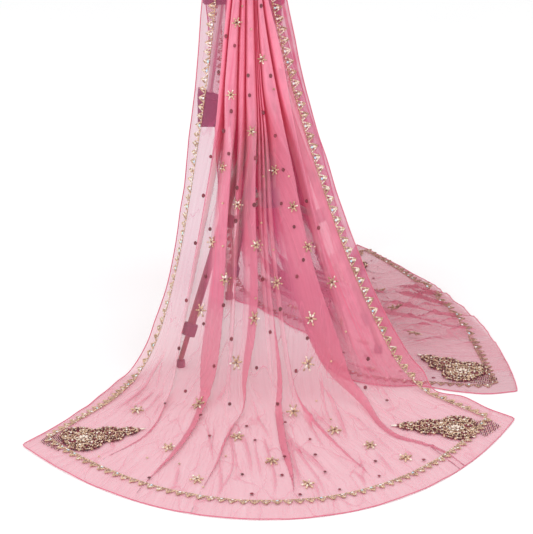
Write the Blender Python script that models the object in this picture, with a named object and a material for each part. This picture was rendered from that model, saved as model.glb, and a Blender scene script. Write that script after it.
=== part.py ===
"""A dupatta stole of embroidered net, draped over a light tripod stand.

The stole is one rectangle of cloth, gathered into folds over the head of the
stand. Its front half falls forward and fans out over the floor. Its back half
falls behind the stand and is drawn out over the floor to the right.

Units are metres, +Z is up, and the front faces -Y. The column of the stand is
the working axis. The last step moves everything so that the origin is the
centre of the underside of the whole object's box.
"""

import math

import bmesh
import bpy
from mathutils import Matrix, Vector

# Cloth
CLOTH_WIDTH = 0.98
WALL = 0.001
GAP = 0.0003
SEAM = 0.0006
MITRE_LIMIT = 1.6

# Trim that lies on the cloth
BAND_HEIGHT = 0.0008
MOTIF_LENGTH = 0.125
MOTIF_WIDTH = 0.066
MOTIF_HEIGHT = 0.0015
LYING_HEIGHT = 0.0018

# Stand
COLUMN_RADIUS = 0.009
COLUMN_TOP = 0.545
HUB_RADIUS = 0.017
HUB_BOTTOM = 0.236
HUB_TOP = 0.262
SHOULDER_RADIUS = 0.027
SHOULDER_BOTTOM = 0.428
SHOULDER_TOP = 0.462
HEAD_CENTRE_X = -0.042
HEAD_SIZE = Vector((0.130, 0.020, 0.092))
HEAD_TOP = 0.6672
TILT_BLOCK_SIZE = Vector((0.036, 0.030, 0.0294))
LEG_RADIUS = 0.0068
LEG_LOWER_RADIUS = 0.0043
LEG_TOP_REACH = 0.020
LEG_FOOT_REACH = 0.190
LEG_TOP = 0.4251
ANKLE_HEIGHT = 0.0130
FOOT_RADIUS = 0.007
FOOT_HEIGHT = 0.011
CLAMP_SIZE = Vector((0.018, 0.018, 0.022))
CLAMP_HEIGHT = 0.060
BRACKET_SIZE = Vector((0.012, 0.020, 0.020))
BRACKET_HEIGHT = 0.233
ARM_SIZE = Vector((0.0, 0.005, 0.009))
GRIP_SIZE = Vector((0.054, 0.040, 0.058))
GRIP_CENTRE = Vector((-0.089, -0.032, 0.414))
GRIP_SLOPE = 0.022
GRIP_ROD_RADIUS = 0.005
GRIP_ROD_FOOT = Vector((-0.097, -0.030, 0.4377))
GRIP_ROD_TOP = Vector((-0.078, -0.001, 0.5736))

# Strips and folds of the gathered cloth, from its left selvedge to its right.
# name, cloth in it, its width when gathered, relative depth (0 lies flat)
FOLDS = (
    ("left margin", 0.020, 0.0165, 0.0),
    ("left band", 0.009, 0.0055, 0.0),
    ("left inner strip", 0.060, 0.0090, 0.0),
    ("fold 1", 0.085, 0.0068, 0.45),
    ("fold 2", 0.125, 0.0084, 1.15),
    ("fold 3", 0.060, 0.0064, 0.70),
    ("fold 4", 0.095, 0.0076, 1.05),
    ("fold 5", 0.055, 0.0064, 0.65),
    ("fold 6", 0.085, 0.0074, 0.90),
    ("fold 7", 0.080, 0.0070, 0.80),
    ("fold 8", 0.125, 0.0084, 1.25),
    ("fold 9", 0.070, 0.0066, 0.50),
    ("right inner strip", 0.082, 0.0090, 0.0),
    ("right band", 0.009, 0.0055, 0.0),
    ("right margin", 0.020, 0.0170, 0.0),
)
BAND_STRIPS = (1, 2)

# The section of one fold: share of its width, share of its height
FOLD_SECTION = ((0.10, 0.0), (0.26, 0.42), (0.40, 1.0), (0.60, 1.0), (0.74, 0.42), (0.90, 0.0))
STRIP_SECTION = ((0.0, 0.0),)

# Lines across the cloth, from the front hem over the head to the back hem.
# name, left selvedge, middle, right selvedge: where the underside lies
# The hem is rounder towards its corners than the curve through those three.
HEM_BULGES = ((0.0, 0.014), (1.0, 0.010), (3.0, 0.0))
STATIONS = (
    ("front hem", (-0.380, -0.415, 0), (0.026, -0.666, 0), (0.376, -0.333, 0)),
    ("front fan outer", (-0.315, -0.318, 0), (0.022, -0.530, 0), (0.303, -0.256, 0)),
    ("front fan inner", (-0.262, -0.235, 0), (-0.002, -0.405, 0), (0.268, -0.217, 0)),
    ("front landing", (-0.225, -0.150, 0.006), (-0.022, -0.305, 0.006), (0.243, -0.193, 0.018)),
    ("front low", (-0.188, -0.122, 0.070), (-0.028, -0.262, 0.075), (0.208, -0.175, 0.062)),
    ("front middle", (-0.150, -0.097, 0.220), (-0.034, -0.190, 0.240), (0.135, -0.135, 0.215)),
    ("front high", (-0.124, -0.068, 0.410), (-0.038, -0.112, 0.420), (0.070, -0.088, 0.410)),
    ("front neck", (-0.108, -0.044, 0.585), (-0.042, -0.052, 0.585), (0.026, -0.048, 0.585)),
    ("front shoulder", (-0.106, -0.034, 0.650), (-0.042, -0.034, 0.650), (0.022, -0.034, 0.650)),
    ("front lip", (-0.105, -0.013, 0.668), (-0.042, -0.013, 0.668), (0.021, -0.013, 0.668)),
    ("back lip", (-0.105, 0.013, 0.668), (-0.042, 0.013, 0.668), (0.021, 0.013, 0.668)),
    ("back shoulder", (-0.105, 0.034, 0.650), (-0.042, 0.034, 0.650), (0.022, 0.034, 0.650)),
    ("back neck", (-0.103, 0.050, 0.585), (-0.040, 0.056, 0.585), (0.028, 0.060, 0.585)),
    ("back high", (-0.097, 0.098, 0.420), (-0.028, 0.130, 0.420), (0.060, 0.165, 0.420)),
    ("back middle", (-0.089, 0.150, 0.230), (-0.010, 0.210, 0.230), (0.088, 0.275, 0.225)),
    ("back low", (-0.081, 0.194, 0.070), (0.008, 0.265, 0.070), (0.104, 0.345, 0.060)),
    ("back landing", (-0.068, 0.210, 0.006), (0.028, 0.284, 0.006), (0.114, 0.362, 0.006)),
    ("back fan 1", (-0.018, 0.112, 0), (0.090, 0.262, 0), (0.122, 0.380, 0)),
    ("back fan 2", (0.058, 0.030, 0), (0.150, 0.230, 0), (0.129, 0.398, 0)),
    ("back fan 3", (0.120, -0.165, 0), (0.205, 0.202, 0), (0.136, 0.415, 0)),
    ("back fan 4", (0.312, -0.222, 0), (0.266, 0.168, 0), (0.143, 0.432, 0)),
    ("back hem", (0.393, -0.217, 0), (0.334, 0.120, 0), (0.150, 0.452, 0)),
)
BACK_TURN = (14.6, 15.6)

# How the folds change along the cloth, between the lines given.
# line, share of the slack cloth taken up, lean, share of a fold that stands up
FOLD_FORM = (
    (0.0, 0.05, 0.60, 0.50),
    (1.0, 0.20, 0.60, 0.50),
    (2.0, 0.35, 0.60, 0.60),
    (3.0, 0.60, 0.60, 0.80),
    (4.0, 0.80, 0.50, 1.00),
    (6.0, 0.80, 0.35, 1.00),
    (8.0, 0.70, 0.25, 1.00),
    (13.0, 0.70, 0.25, 1.00),
    (14.6, 0.60, 0.25, 1.00),
    (15.7, 0.10, 0.25, 1.00),
    (16.6, 0.08, 0.25, 1.00),
    (18.0, 0.13, 0.25, 0.90),
    (21.0, 0.02, 0.25, 0.90),
)

# The stretches of the cloth: name, the lines with a row of points
STRETCHES = (
    ("front_spread", (0.0, 0.345, 0.41, 1.0, 1.7, 2.4, 3.0, 3.5, 4.0)),
    ("front_fall", (4.0, 4.6, 5.3, 6.0, 6.7, 7.3, 8.0)),
    ("top_fold", (8.0, 8.7, 9.2, 9.8, 10.3, 11.0)),
    ("back_fall", (11.0, 11.6, 12.2, 12.9, 13.5, 14.0, 14.5)),
    ("back_spread", (14.5, 15.1, 15.6, 16.1, 16.7, 17.4, 18.2, 19.0, 19.6, 20.45, 20.55, 21.0)),
)
HEM_BAND_LINES = {"front": (0.345, 0.41), "back": (20.45, 20.55)}
HALVES = {"front": (0.345, 11.0), "back": (11.0, 20.55)}

# Places on the floor where the folds are smoothed out: x, y, radius
FLAT_SPOTS = (
    ("front left corner", -0.240, -0.385, 0.100),
    ("front right corner", 0.250, -0.352, 0.100),
    ("under the right foot", 0.1785, -0.0650, 0.075),
    ("near back corner", 0.315, -0.150, 0.125),
    ("far back corner", 0.168, 0.315, 0.115),
)

# Corner motifs: name, tip, middle of the blunt end
MOTIFS = (
    ("motif_front_left", (-0.184, -0.370), (-0.306, -0.408)),
    ("motif_front_right", (0.186, -0.358), (0.312, -0.362)),
    ("motif_back_near", (0.250, -0.084), (0.336, -0.170)),
    ("motif_back_far", (0.172, 0.245), (0.161, 0.369)),
)

# Legs: name, azimuth in degrees, height of the ground under the foot
LEGS = (
    ("left", 220.0, 0.0),
    ("right", 340.0, LYING_HEIGHT),
    ("back", 112.0, 0.0),
)

# Materials: name, colour, roughness, metallic
NET = ("rose_net", (0.80, 0.24, 0.34, 1.0), 0.70, 0.0)
GOLD = ("gold_beadwork", (0.70, 0.50, 0.24, 1.0), 0.38, 0.8)
DARK = ("dark_stand_plastic", (0.05, 0.045, 0.05, 1.0), 0.45, 0.0)
TUBE = ("bronze_stand_tube", (0.30, 0.25, 0.24, 1.0), 0.35, 0.9)


def clear_scene():
    """Remove the objects that the scene opens with."""
    for item in list(bpy.data.objects):
        bpy.data.objects.remove(item, do_unlink=True)


def material(look):
    """Return the material of a look, making it once."""
    name, colour, roughness, metallic = look
    found = bpy.data.materials.get(name)
    if found:
        return found
    made = bpy.data.materials.new(name)
    made.use_nodes = True
    shader = made.node_tree.nodes["Principled BSDF"]
    shader.inputs["Base Color"].default_value = colour
    shader.inputs["Roughness"].default_value = roughness
    shader.inputs["Metallic"].default_value = metallic
    return made


def add_object(name, mesh_data, look, parent, smooth_angle=40):
    """Link a bmesh to the scene as a named object."""
    mesh = bpy.data.meshes.new(name)
    mesh_data.normal_update()
    mesh_data.to_mesh(mesh)
    mesh_data.free()
    mesh.shade_smooth()
    mesh.set_sharp_from_angle(angle=math.radians(smooth_angle))
    item = bpy.data.objects.new(name, mesh)
    item.data.materials.append(material(look))
    item.parent = parent
    bpy.context.scene.collection.objects.link(item)
    return item


def smoothstep(value, low, high):
    """Rise smoothly from 0 at low to 1 at high."""
    share = min(max((value - low) / (high - low), 0.0), 1.0)
    return share * share * (3 - 2 * share)


def guide(column, line):
    """A point on a selvedge or the middle guide at a line across the cloth.

    line counts the rows of STATIONS and may lie between two of them.
    """
    last = len(STATIONS) - 1
    index = min(max(int(math.floor(line)), 0), last - 1)
    share = line - index
    rows = [Vector(STATIONS[i][column]) for i in (index, index + 1)]
    before = Vector(STATIONS[index - 1][column]) if index > 0 else 2 * rows[0] - rows[1]
    after = Vector(STATIONS[index + 2][column]) if index + 2 <= last else 2 * rows[1] - rows[0]
    start_slope = (rows[1] - before) / 2
    end_slope = (after - rows[0]) / 2
    point = (
        rows[0] * (2 * share**3 - 3 * share**2 + 1)
        + start_slope * (share**3 - 2 * share**2 + share)
        + rows[1] * (3 * share**2 - 2 * share**3)
        + end_slope * (share**3 - share**2)
    )
    point.z = max(point.z, 0.0) + WALL / 2
    return point


def between(table, line):
    """The values of a table at a line, blended smoothly from row to row."""
    for low, high in zip(table, table[1:]):
        if line <= high[0]:
            share = smoothstep(line, low[0], high[0])
            return [a + (b - a) * share for a, b in zip(low[1:], high[1:])]
    return list(table[-1][1:])


def base_point(across, line):
    """A point of the plain surface that the folds stand on."""
    left, middle, right = (guide(column, line) for column in (1, 2, 3))
    point = (
        left * ((1 - across) * (1 - 2 * across))
        + middle * (4 * across * (1 - across))
        + right * (across * (2 * across - 1))
    )
    bulge = between(HEM_BULGES, line)[0]
    outward = (middle - (left + right) / 2).normalized()
    quarter = 16 * across * (1 - across) * (1 - 2 * across) ** 2
    point += outward * bulge * quarter
    point.z = max(point.z, WALL / 2)
    return point


def base_normal(across, line):
    """The direction that the right side of the cloth faces."""
    step = 0.02
    side = base_point(across + step, line) - base_point(across - step, line)
    low = max(line - step, 0.0)
    high = min(line + step, len(STATIONS) - 1.0)
    along = base_point(across, high) - base_point(across, low)
    return side.cross(along).normalized()


def base_width(line):
    """The length of the plain surface across the cloth."""
    steps = 24
    points = [base_point(i / steps, line) for i in range(steps + 1)]
    return sum((b - a).length for a, b in zip(points, points[1:]))


def fold_depth(index):
    """The relative depth at the boundary before a fold."""
    if index in (0, len(FOLDS)):
        return 0.0
    pair = (FOLDS[index - 1][3], FOLDS[index][3])
    return max(pair) if 0 in pair else sum(pair) / 2


def strip_widths(width):
    """The width of each strip and fold where the whole section is this wide."""
    gathered = sum(fold[2] for fold in FOLDS)
    spread = min(max((width - gathered) / (CLOTH_WIDTH - gathered), 0.0), 1.0)
    flat = [tight + (cloth - tight) * spread for _, cloth, tight, deep in FOLDS if not deep]
    folds = [(cloth, tight) for _, cloth, tight, deep in FOLDS if deep]
    all_cloth, all_tight = (sum(pair[i] for pair in folds) for i in (0, 1))
    room = width - sum(flat)
    widths = []
    for _, cloth, tight, deep in FOLDS:
        if deep:
            share = (1 - spread) * tight / all_tight + spread * cloth / all_cloth
            widths.append(room * share)
        else:
            widths.append(flat.pop(0))
    return widths


def section(index):
    """The section of a fold, or the one point where a flat strip starts."""
    return FOLD_SECTION if FOLDS[index][3] else STRIP_SECTION


def column_rises():
    """Whether the folds rise from each column to the next."""
    heights = [height for index in range(len(FOLDS)) for _, height in section(index)]
    return [b > a for a, b in zip(heights, heights[1:] + [0.0])]


def profile(width, depth, lean, standing):
    """The folded section: (distance across, height, envelope) of each column.

    The standing share is how much of a fold's width its ridge takes up. The
    lean shears the folds to one side, so that a fold can hang over its
    neighbour while the wall never meets itself.
    """
    columns = []
    start = 0.0
    for index, strip_width in enumerate(strip_widths(width)):
        low, high = fold_depth(index), fold_depth(index + 1)
        for turn, height in section(index):
            across = 0.5 + (turn - 0.5) * standing if FOLDS[index][3] else turn
            envelope = depth * (low + (high - low) * turn)
            columns.append((start + strip_width * across, envelope * height, envelope))
        start += strip_width
    columns.append((width, 0.0, 0.0))
    return [(x + lean * y, y, envelope) for x, y, envelope in columns]


def section_length(columns):
    """The length of the cloth along a section."""
    return sum(math.hypot(b[0] - a[0], b[1] - a[1]) for a, b in zip(columns, columns[1:]))


def solved_depth(width, form):
    """The fold depth at which a section takes up the cloth that it has to."""
    take_up, lean, standing = form
    cloth = width + (CLOTH_WIDTH - width) * take_up
    low, high = 0.0, 0.2
    for _ in range(30):
        depth = (low + high) / 2
        if section_length(profile(width, depth, lean, standing)) < cloth:
            low = depth
        else:
            high = depth
    return low


def smoothing(point):
    """How much of the fold height is kept at a place on the floor."""
    keep = 1.0
    for _, x, y, radius in FLAT_SPOTS:
        distance = math.hypot(point.x - x, point.y - y)
        near_floor = 1 - smoothstep(point.z, 0.02, 0.08)
        keep *= 1 - near_floor * (1 - smoothstep(distance, radius * 0.7, radius * 1.5))
    return keep


def cloth_row(line):
    """The middle of the cloth wall at a line across it, one point a column."""
    width = base_width(line)
    form = between(FOLD_FORM, line)
    _, lean, standing = form
    turned = smoothstep(line, *BACK_TURN)
    row = []
    for x, y, envelope in profile(width, solved_depth(width, form), lean, standing):
        upright = x - lean * y
        keep = smoothing(base_point(upright / width, line))
        height = (y - turned * envelope) * keep
        across = (upright + lean * height) / width
        row.append(base_point(across, line) + base_normal(across, line) * height)
    return row


def length_per_line(line):
    """How far the middle guide runs in one unit of line."""
    step = 0.01
    return (guide(2, line + step) - guide(2, line - step)).length / (2 * step)


def drawn_in(lines):
    """The lines of a stretch, drawn in by half a seam gap at each end."""
    last = len(STATIONS) - 1
    moved = list(lines)
    if lines[0] > 0:
        moved[0] += SEAM / 2 / length_per_line(lines[0])
    if lines[-1] < last:
        moved[-1] -= SEAM / 2 / length_per_line(lines[-1])
    return moved


def next_row(rows, index, step):
    """The next row of the sheet, past the other side of a seam."""
    last = len(rows) - 1
    found = min(max(index + step, 0), last)
    middle = len(rows[0]) // 2
    if (rows[found][middle] - rows[index][middle]).length < 3 * SEAM:
        found = min(max(found + step, 0), last)
    return rows[found]


def vertex_normals(rows):
    """The normal at each point of the sheet, and how far its wall is mitred."""
    normals = []
    for i, row in enumerate(rows):
        below = next_row(rows, i, -1)
        above = next_row(rows, i, 1)
        line = []
        for j in range(len(row)):
            along = above[j] - below[j]
            near = row[max(j - 1, 0):j + 2]
            sides = [b - a for a, b in zip(near, near[1:])]
            faces = [side.cross(along).normalized() for side in sides]
            normal = sum(faces, Vector()).normalized()
            mitre = 1 / max(normal.dot(faces[0]), 1 / MITRE_LIMIT)
            line.append(normal * mitre)
        normals.append(line)
    return normals


def closed_wall(rows, normals, rises, low, high):
    """A closed wall between two distances from the middle of the sheet.

    Each patch is cut along one diagonal. It is the one that keeps the two
    sides of a fold nested where the fold turns between two rows.
    """
    solid = bmesh.new()

    def moved(i, j, distance):
        point = rows[i][j] + normals[i][j] * distance
        point.z = max(point.z, 0.0)
        return solid.verts.new(point)

    count, across = len(rows), len(rows[0])
    outer = [[moved(i, j, high) for j in range(across)] for i in range(count)]
    inner = [[moved(i, j, low) for j in range(across)] for i in range(count)]
    for i in range(count - 1):
        for j in range(across - 1):
            for side, order in ((outer, 1), (inner, -1)):
                a, b = side[i][j], side[i][j + 1]
                c, d = side[i + 1][j + 1], side[i + 1][j]
                halves = ((a, b, c), (a, c, d)) if rises[j] else ((a, b, d), (b, c, d))
                for half in halves:
                    solid.faces.new(half[::order])
        for j, order in ((0, 1), (across - 1, -1)):
            loop = (outer[i][j], outer[i + 1][j], inner[i + 1][j], inner[i][j])
            solid.faces.new(loop[::order])
    for j in range(across - 1):
        for i, order in ((0, -1), (count - 1, 1)):
            loop = (outer[i][j], outer[i][j + 1], inner[i][j + 1], inner[i][j])
            solid.faces.new(loop[::order])
    return solid


def cloth_sheet():
    """Every line of the cloth from hem to hem, with its row of points."""
    lines = []
    for _, stretch in STRETCHES:
        lines += drawn_in(stretch)
    rows = [cloth_row(line) for line in lines]
    return lines, rows, vertex_normals(rows)


def build_cloth(sheet, parent):
    """The five stretches of the cloth that show."""
    _, rows, normals = sheet
    rises = column_rises()
    first = 0
    for name, stretch in STRETCHES:
        last = first + len(stretch)
        wall = closed_wall(rows[first:last], normals[first:last], rises, -WALL / 2, WALL / 2)
        add_object(name, wall, NET, parent)
        first = last


def band(name, rows, normals, rises, side, parent):
    """A raised band of beadwork, clear of the cloth on one side of it."""
    low = WALL / 2 + GAP
    high = low + BAND_HEIGHT
    limits = (low, high) if side > 0 else (-high, -low)
    add_object(name, closed_wall(rows, normals, rises, *limits), GOLD, parent)


def shortened(row, distance):
    """A row of points with both ends drawn in."""
    first = row[0] + (row[1] - row[0]).normalized() * distance
    last = row[-1] + (row[-2] - row[-1]).normalized() * distance
    return [first, *row[1:-1], last]


def build_bands(sheet, parent):
    """Six bands of beadwork, one along each edge of each half."""
    lines, rows, normals = sheet
    rises = column_rises()
    low, high = BAND_STRIPS
    last = len(rows[0]) - 1
    for half, side in (("front", 1), ("back", -1)):
        start, end = HALVES[half]
        picked = [i for i, line in enumerate(lines) if start <= line <= end]
        for edge, first in (("left", low), ("right", last - high)):
            columns = slice(first, first + high - low + 1)
            strip = [rows[i][columns] for i in picked]
            strip_normals = [normals[i][columns] for i in picked]
            band(f"border_{half}_{edge}", strip, strip_normals, rises[columns], side, parent)
        picked = [i for i, line in enumerate(lines) if line in HEM_BAND_LINES[half]]
        columns = slice(high, last - high + 1)
        strip = [shortened(rows[i][columns], GAP) for i in picked]
        strip_normals = [normals[i][columns] for i in picked]
        band(f"border_{half}_hem", strip, strip_normals, rises[columns], side, parent)


def build_motifs(parent):
    """Four leaf-shaped corner motifs that lie on the flat corners."""
    sides = 28
    for name, tip, root in MOTIFS:
        tip, root = Vector((*tip, 0)), Vector((*root, 0))
        along = (root - tip).normalized()
        across = Vector((-along.y, along.x, 0))
        solid = bmesh.new()
        outline = []
        for i in range(sides):
            turn = 2 * math.pi * i / sides
            reach = (1 - math.cos(turn)) / 2 * MOTIF_LENGTH
            swell = math.sin(turn) * math.sin(turn / 2) ** 0.8
            outline.append(tip + along * reach + across * (swell * MOTIF_WIDTH * 0.5))
        bottom = [solid.verts.new(p + Vector((0, 0, LYING_HEIGHT))) for p in outline]
        face = solid.faces.new(bottom)
        made = bmesh.ops.extrude_face_region(solid, geom=[face])
        top = [item for item in made["geom"] if isinstance(item, bmesh.types.BMVert)]
        bmesh.ops.translate(solid, verts=top, vec=(0, 0, MOTIF_HEIGHT))
        bmesh.ops.recalc_face_normals(solid, faces=solid.faces)
        add_object(name, solid, GOLD, parent)


def tube(name, start, end, radius, look, parent, sides=12):
    """A round bar between two points."""
    axis = end - start
    solid = bmesh.new()
    turn = axis.to_track_quat("Z", "Y").to_matrix().to_4x4()
    place = Matrix.Translation((start + end) / 2) @ turn
    bmesh.ops.create_cone(
        solid, cap_ends=True, segments=sides, radius1=radius, radius2=radius,
        depth=axis.length, matrix=place,
    )
    return add_object(name, solid, look, parent)


def block(name, centre, size, look, parent, turn=None, bevel=0.002):
    """A box with softened edges."""
    solid = bmesh.new()
    place = Matrix.Translation(centre) @ (turn or Matrix())
    bmesh.ops.create_cube(solid, size=1.0, matrix=Matrix.Diagonal((*size, 1.0)))
    bmesh.ops.bevel(
        solid, geom=solid.edges[:], offset=bevel, segments=1, affect="EDGES", profile=0.5
    )
    bmesh.ops.transform(solid, matrix=place, verts=solid.verts)
    return add_object(name, solid, look, parent)


def build_column(parent):
    """The head board, its tilt block, the column, shoulder and hub."""
    head_centre = Vector((HEAD_CENTRE_X, 0, HEAD_TOP - HEAD_SIZE.z / 2))
    block("stand_head_board", head_centre, HEAD_SIZE, DARK, parent, bevel=0.003)
    tilt_centre = Vector((0, 0, HEAD_TOP - HEAD_SIZE.z - GAP - TILT_BLOCK_SIZE.z / 2))
    block("stand_tilt_block", tilt_centre, TILT_BLOCK_SIZE, DARK, parent)
    spans = (
        ("stand_column_upper", SHOULDER_TOP + GAP, COLUMN_TOP),
        ("stand_column_lower", HUB_TOP + GAP, SHOULDER_BOTTOM - GAP),
    )
    for name, low, high in spans:
        tube(name, Vector((0, 0, low)), Vector((0, 0, high)), COLUMN_RADIUS, TUBE, parent)
    shoulder = (Vector((0, 0, SHOULDER_BOTTOM)), Vector((0, 0, SHOULDER_TOP)))
    tube("stand_shoulder", *shoulder, SHOULDER_RADIUS, DARK, parent, sides=20)
    hub = (Vector((0, 0, HUB_BOTTOM)), Vector((0, 0, HUB_TOP)))
    tube("stand_hub", *hub, HUB_RADIUS, DARK, parent, sides=16)


def build_grip(parent):
    """The pan handle: a rod from the head board down to a broad grip."""
    solid = bmesh.new()
    bmesh.ops.create_cube(solid, size=1.0, matrix=Matrix.Diagonal((*GRIP_SIZE, 1.0)))
    for vert in solid.verts:
        if vert.co.x > 0 and vert.co.z > 0:
            vert.co.z -= GRIP_SLOPE
    bmesh.ops.bevel(
        solid, geom=solid.edges[:], offset=0.004, segments=2, affect="EDGES", profile=0.5
    )
    bmesh.ops.translate(solid, verts=solid.verts, vec=GRIP_CENTRE)
    add_object("stand_grip", solid, DARK, parent)
    tube("stand_grip_rod", GRIP_ROD_FOOT, GRIP_ROD_TOP, GRIP_ROD_RADIUS, TUBE, parent, sides=10)


def build_leg(name, azimuth, ground, parent):
    """One leg: tube, clamp, thinner tube and foot, with its spreader arm."""
    out = Vector((math.cos(math.radians(azimuth)), math.sin(math.radians(azimuth)), 0))
    top = out * LEG_TOP_REACH + Vector((0, 0, LEG_TOP))
    ankle = out * LEG_FOOT_REACH + Vector((0, 0, ground + ANKLE_HEIGHT))
    down = (ankle - top).normalized()
    turn = down.to_track_quat("-Z", "X").to_matrix().to_4x4()

    def at_height(height):
        return top + (ankle - top) * ((top.z - height) / (top.z - ankle.z))

    clamp = at_height(CLAMP_HEIGHT)
    half = CLAMP_SIZE.z / 2 + GAP
    tube(f"stand_leg_{name}_upper", top, clamp - down * half, LEG_RADIUS, TUBE, parent)
    block(f"stand_leg_{name}_clamp", clamp, CLAMP_SIZE, DARK, parent, turn=turn)
    tube(f"stand_leg_{name}_lower", clamp + down * half, ankle, LEG_LOWER_RADIUS, TUBE, parent)
    foot = out * LEG_FOOT_REACH + Vector((0, 0, ground))
    foot_top = foot + Vector((0, 0, FOOT_HEIGHT))
    tube(f"stand_leg_{name}_foot", foot, foot_top, FOOT_RADIUS, DARK, parent)
    build_arm(name, out, at_height(BRACKET_HEIGHT), down, parent)


def build_arm(name, out, on_leg, down, parent):
    """The spreader arm from the hub to a bracket on the inside of a leg."""
    across = Vector((-out.y, out.x, 0))
    inward = across.cross(down).normalized()
    if inward.dot(out) > 0:
        inward = -inward
    turn = Matrix((inward, across, inward.cross(across))).transposed().to_4x4()
    bracket = on_leg + inward * (LEG_RADIUS + GAP + BRACKET_SIZE.x / 2)
    block(f"stand_arm_{name}_bracket", bracket, BRACKET_SIZE, DARK, parent, turn=turn)
    start = out * (HUB_RADIUS + GAP) + Vector((0, 0, (HUB_TOP + HUB_BOTTOM) / 2))
    end = bracket + inward * (BRACKET_SIZE.x / 2 + GAP)
    direction = (end - start).normalized()
    start += direction * (ARM_SIZE.z / 2 * abs(direction.z) + GAP)
    end -= direction * (ARM_SIZE.z / 2 * math.tan(direction.angle(-inward)))
    axis = end - start
    size = Vector((axis.length, ARM_SIZE.y, ARM_SIZE.z))
    arm_turn = axis.to_track_quat("X", "Z").to_matrix().to_4x4()
    block(f"stand_arm_{name}", (start + end) / 2, size, TUBE, parent, arm_turn, bevel=0.001)


def centre_on_floor(root):
    """Move the whole object so its box stands centred on the origin."""
    bpy.context.view_layer.update()
    corners = [
        item.matrix_world @ vert.co
        for item in root.children
        for vert in item.data.vertices
    ]
    middle_x = (min(c.x for c in corners) + max(c.x for c in corners)) / 2
    middle_y = (min(c.y for c in corners) + max(c.y for c in corners)) / 2
    root.location = (-middle_x, -middle_y, 0)
    bpy.context.view_layer.update()


def main():
    """Build the stole and its stand."""
    clear_scene()
    root = bpy.data.objects.new("dupatta_on_stand", None)
    bpy.context.scene.collection.objects.link(root)
    sheet = cloth_sheet()
    build_cloth(sheet, root)
    build_bands(sheet, root)
    build_motifs(root)
    build_column(root)
    build_grip(root)
    for name, azimuth, ground in LEGS:
        build_leg(name, azimuth, ground, root)
    centre_on_floor(root)


main()
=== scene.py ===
"""The looks of the dupatta stole on its tripod stand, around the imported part.

The cloth is one sheet of rose net in two pieces, a front and a back half. Both
follow the same guide lines as the solids, with finer folds. Beads, sequins and
motifs are placed on the cloth by their distance across it and along it.

Units are metres. The tables use the axis of the stand's column as their origin.
"""

import math
import random

import bpy
import numpy as np
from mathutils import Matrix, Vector


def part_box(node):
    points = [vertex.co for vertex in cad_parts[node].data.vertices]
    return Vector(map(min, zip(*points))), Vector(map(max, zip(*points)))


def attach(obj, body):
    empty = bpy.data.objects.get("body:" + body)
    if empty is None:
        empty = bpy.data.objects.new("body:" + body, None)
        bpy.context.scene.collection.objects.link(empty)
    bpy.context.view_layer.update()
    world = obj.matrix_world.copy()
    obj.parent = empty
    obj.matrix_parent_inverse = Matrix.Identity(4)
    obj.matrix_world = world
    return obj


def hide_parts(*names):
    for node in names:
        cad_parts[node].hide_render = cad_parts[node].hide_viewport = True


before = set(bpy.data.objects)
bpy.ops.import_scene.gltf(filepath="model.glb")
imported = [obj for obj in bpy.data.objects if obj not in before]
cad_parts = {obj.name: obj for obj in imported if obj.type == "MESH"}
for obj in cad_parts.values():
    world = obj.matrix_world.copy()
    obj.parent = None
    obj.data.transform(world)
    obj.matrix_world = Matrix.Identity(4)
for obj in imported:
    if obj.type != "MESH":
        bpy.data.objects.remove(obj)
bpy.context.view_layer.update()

# Cloth
CLOTH_WIDTH = 0.98
REST_HEIGHT = 0.0006
TOP_LINE = 9.5
ROWS = {"front": 215, "back": 210}
INNER_COLUMNS = 372
MARGIN_COLUMNS = 5
DENSE = 2600
# The share of the slack that the gathers take up, and the most that they grow to do so
SLACK_TAKEN = 0.86
MOST_GROWTH = 1.35
# The slack cloth for each unit of fold depth
SLACK_PER_DEPTH = 14.9

# Strips and folds from the left selvedge: cloth in each, gathered width, relative depth
FOLDS = (
    (0.020, 0.0165, 0.0),
    (0.009, 0.0055, 0.0),
    (0.060, 0.0090, 0.0),
    (0.085, 0.0068, 0.45),
    (0.125, 0.0084, 1.15),
    (0.060, 0.0064, 0.70),
    (0.095, 0.0076, 1.05),
    (0.055, 0.0064, 0.65),
    (0.085, 0.0074, 0.90),
    (0.080, 0.0070, 0.80),
    (0.125, 0.0084, 1.25),
    (0.070, 0.0066, 0.50),
    (0.082, 0.0090, 0.0),
    (0.009, 0.0055, 0.0),
    (0.020, 0.0170, 0.0),
)
BAND = (0.020, 0.029)
HEM_BULGES = ((0.0, 0.014), (1.0, 0.010), (3.0, 0.0))

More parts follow.
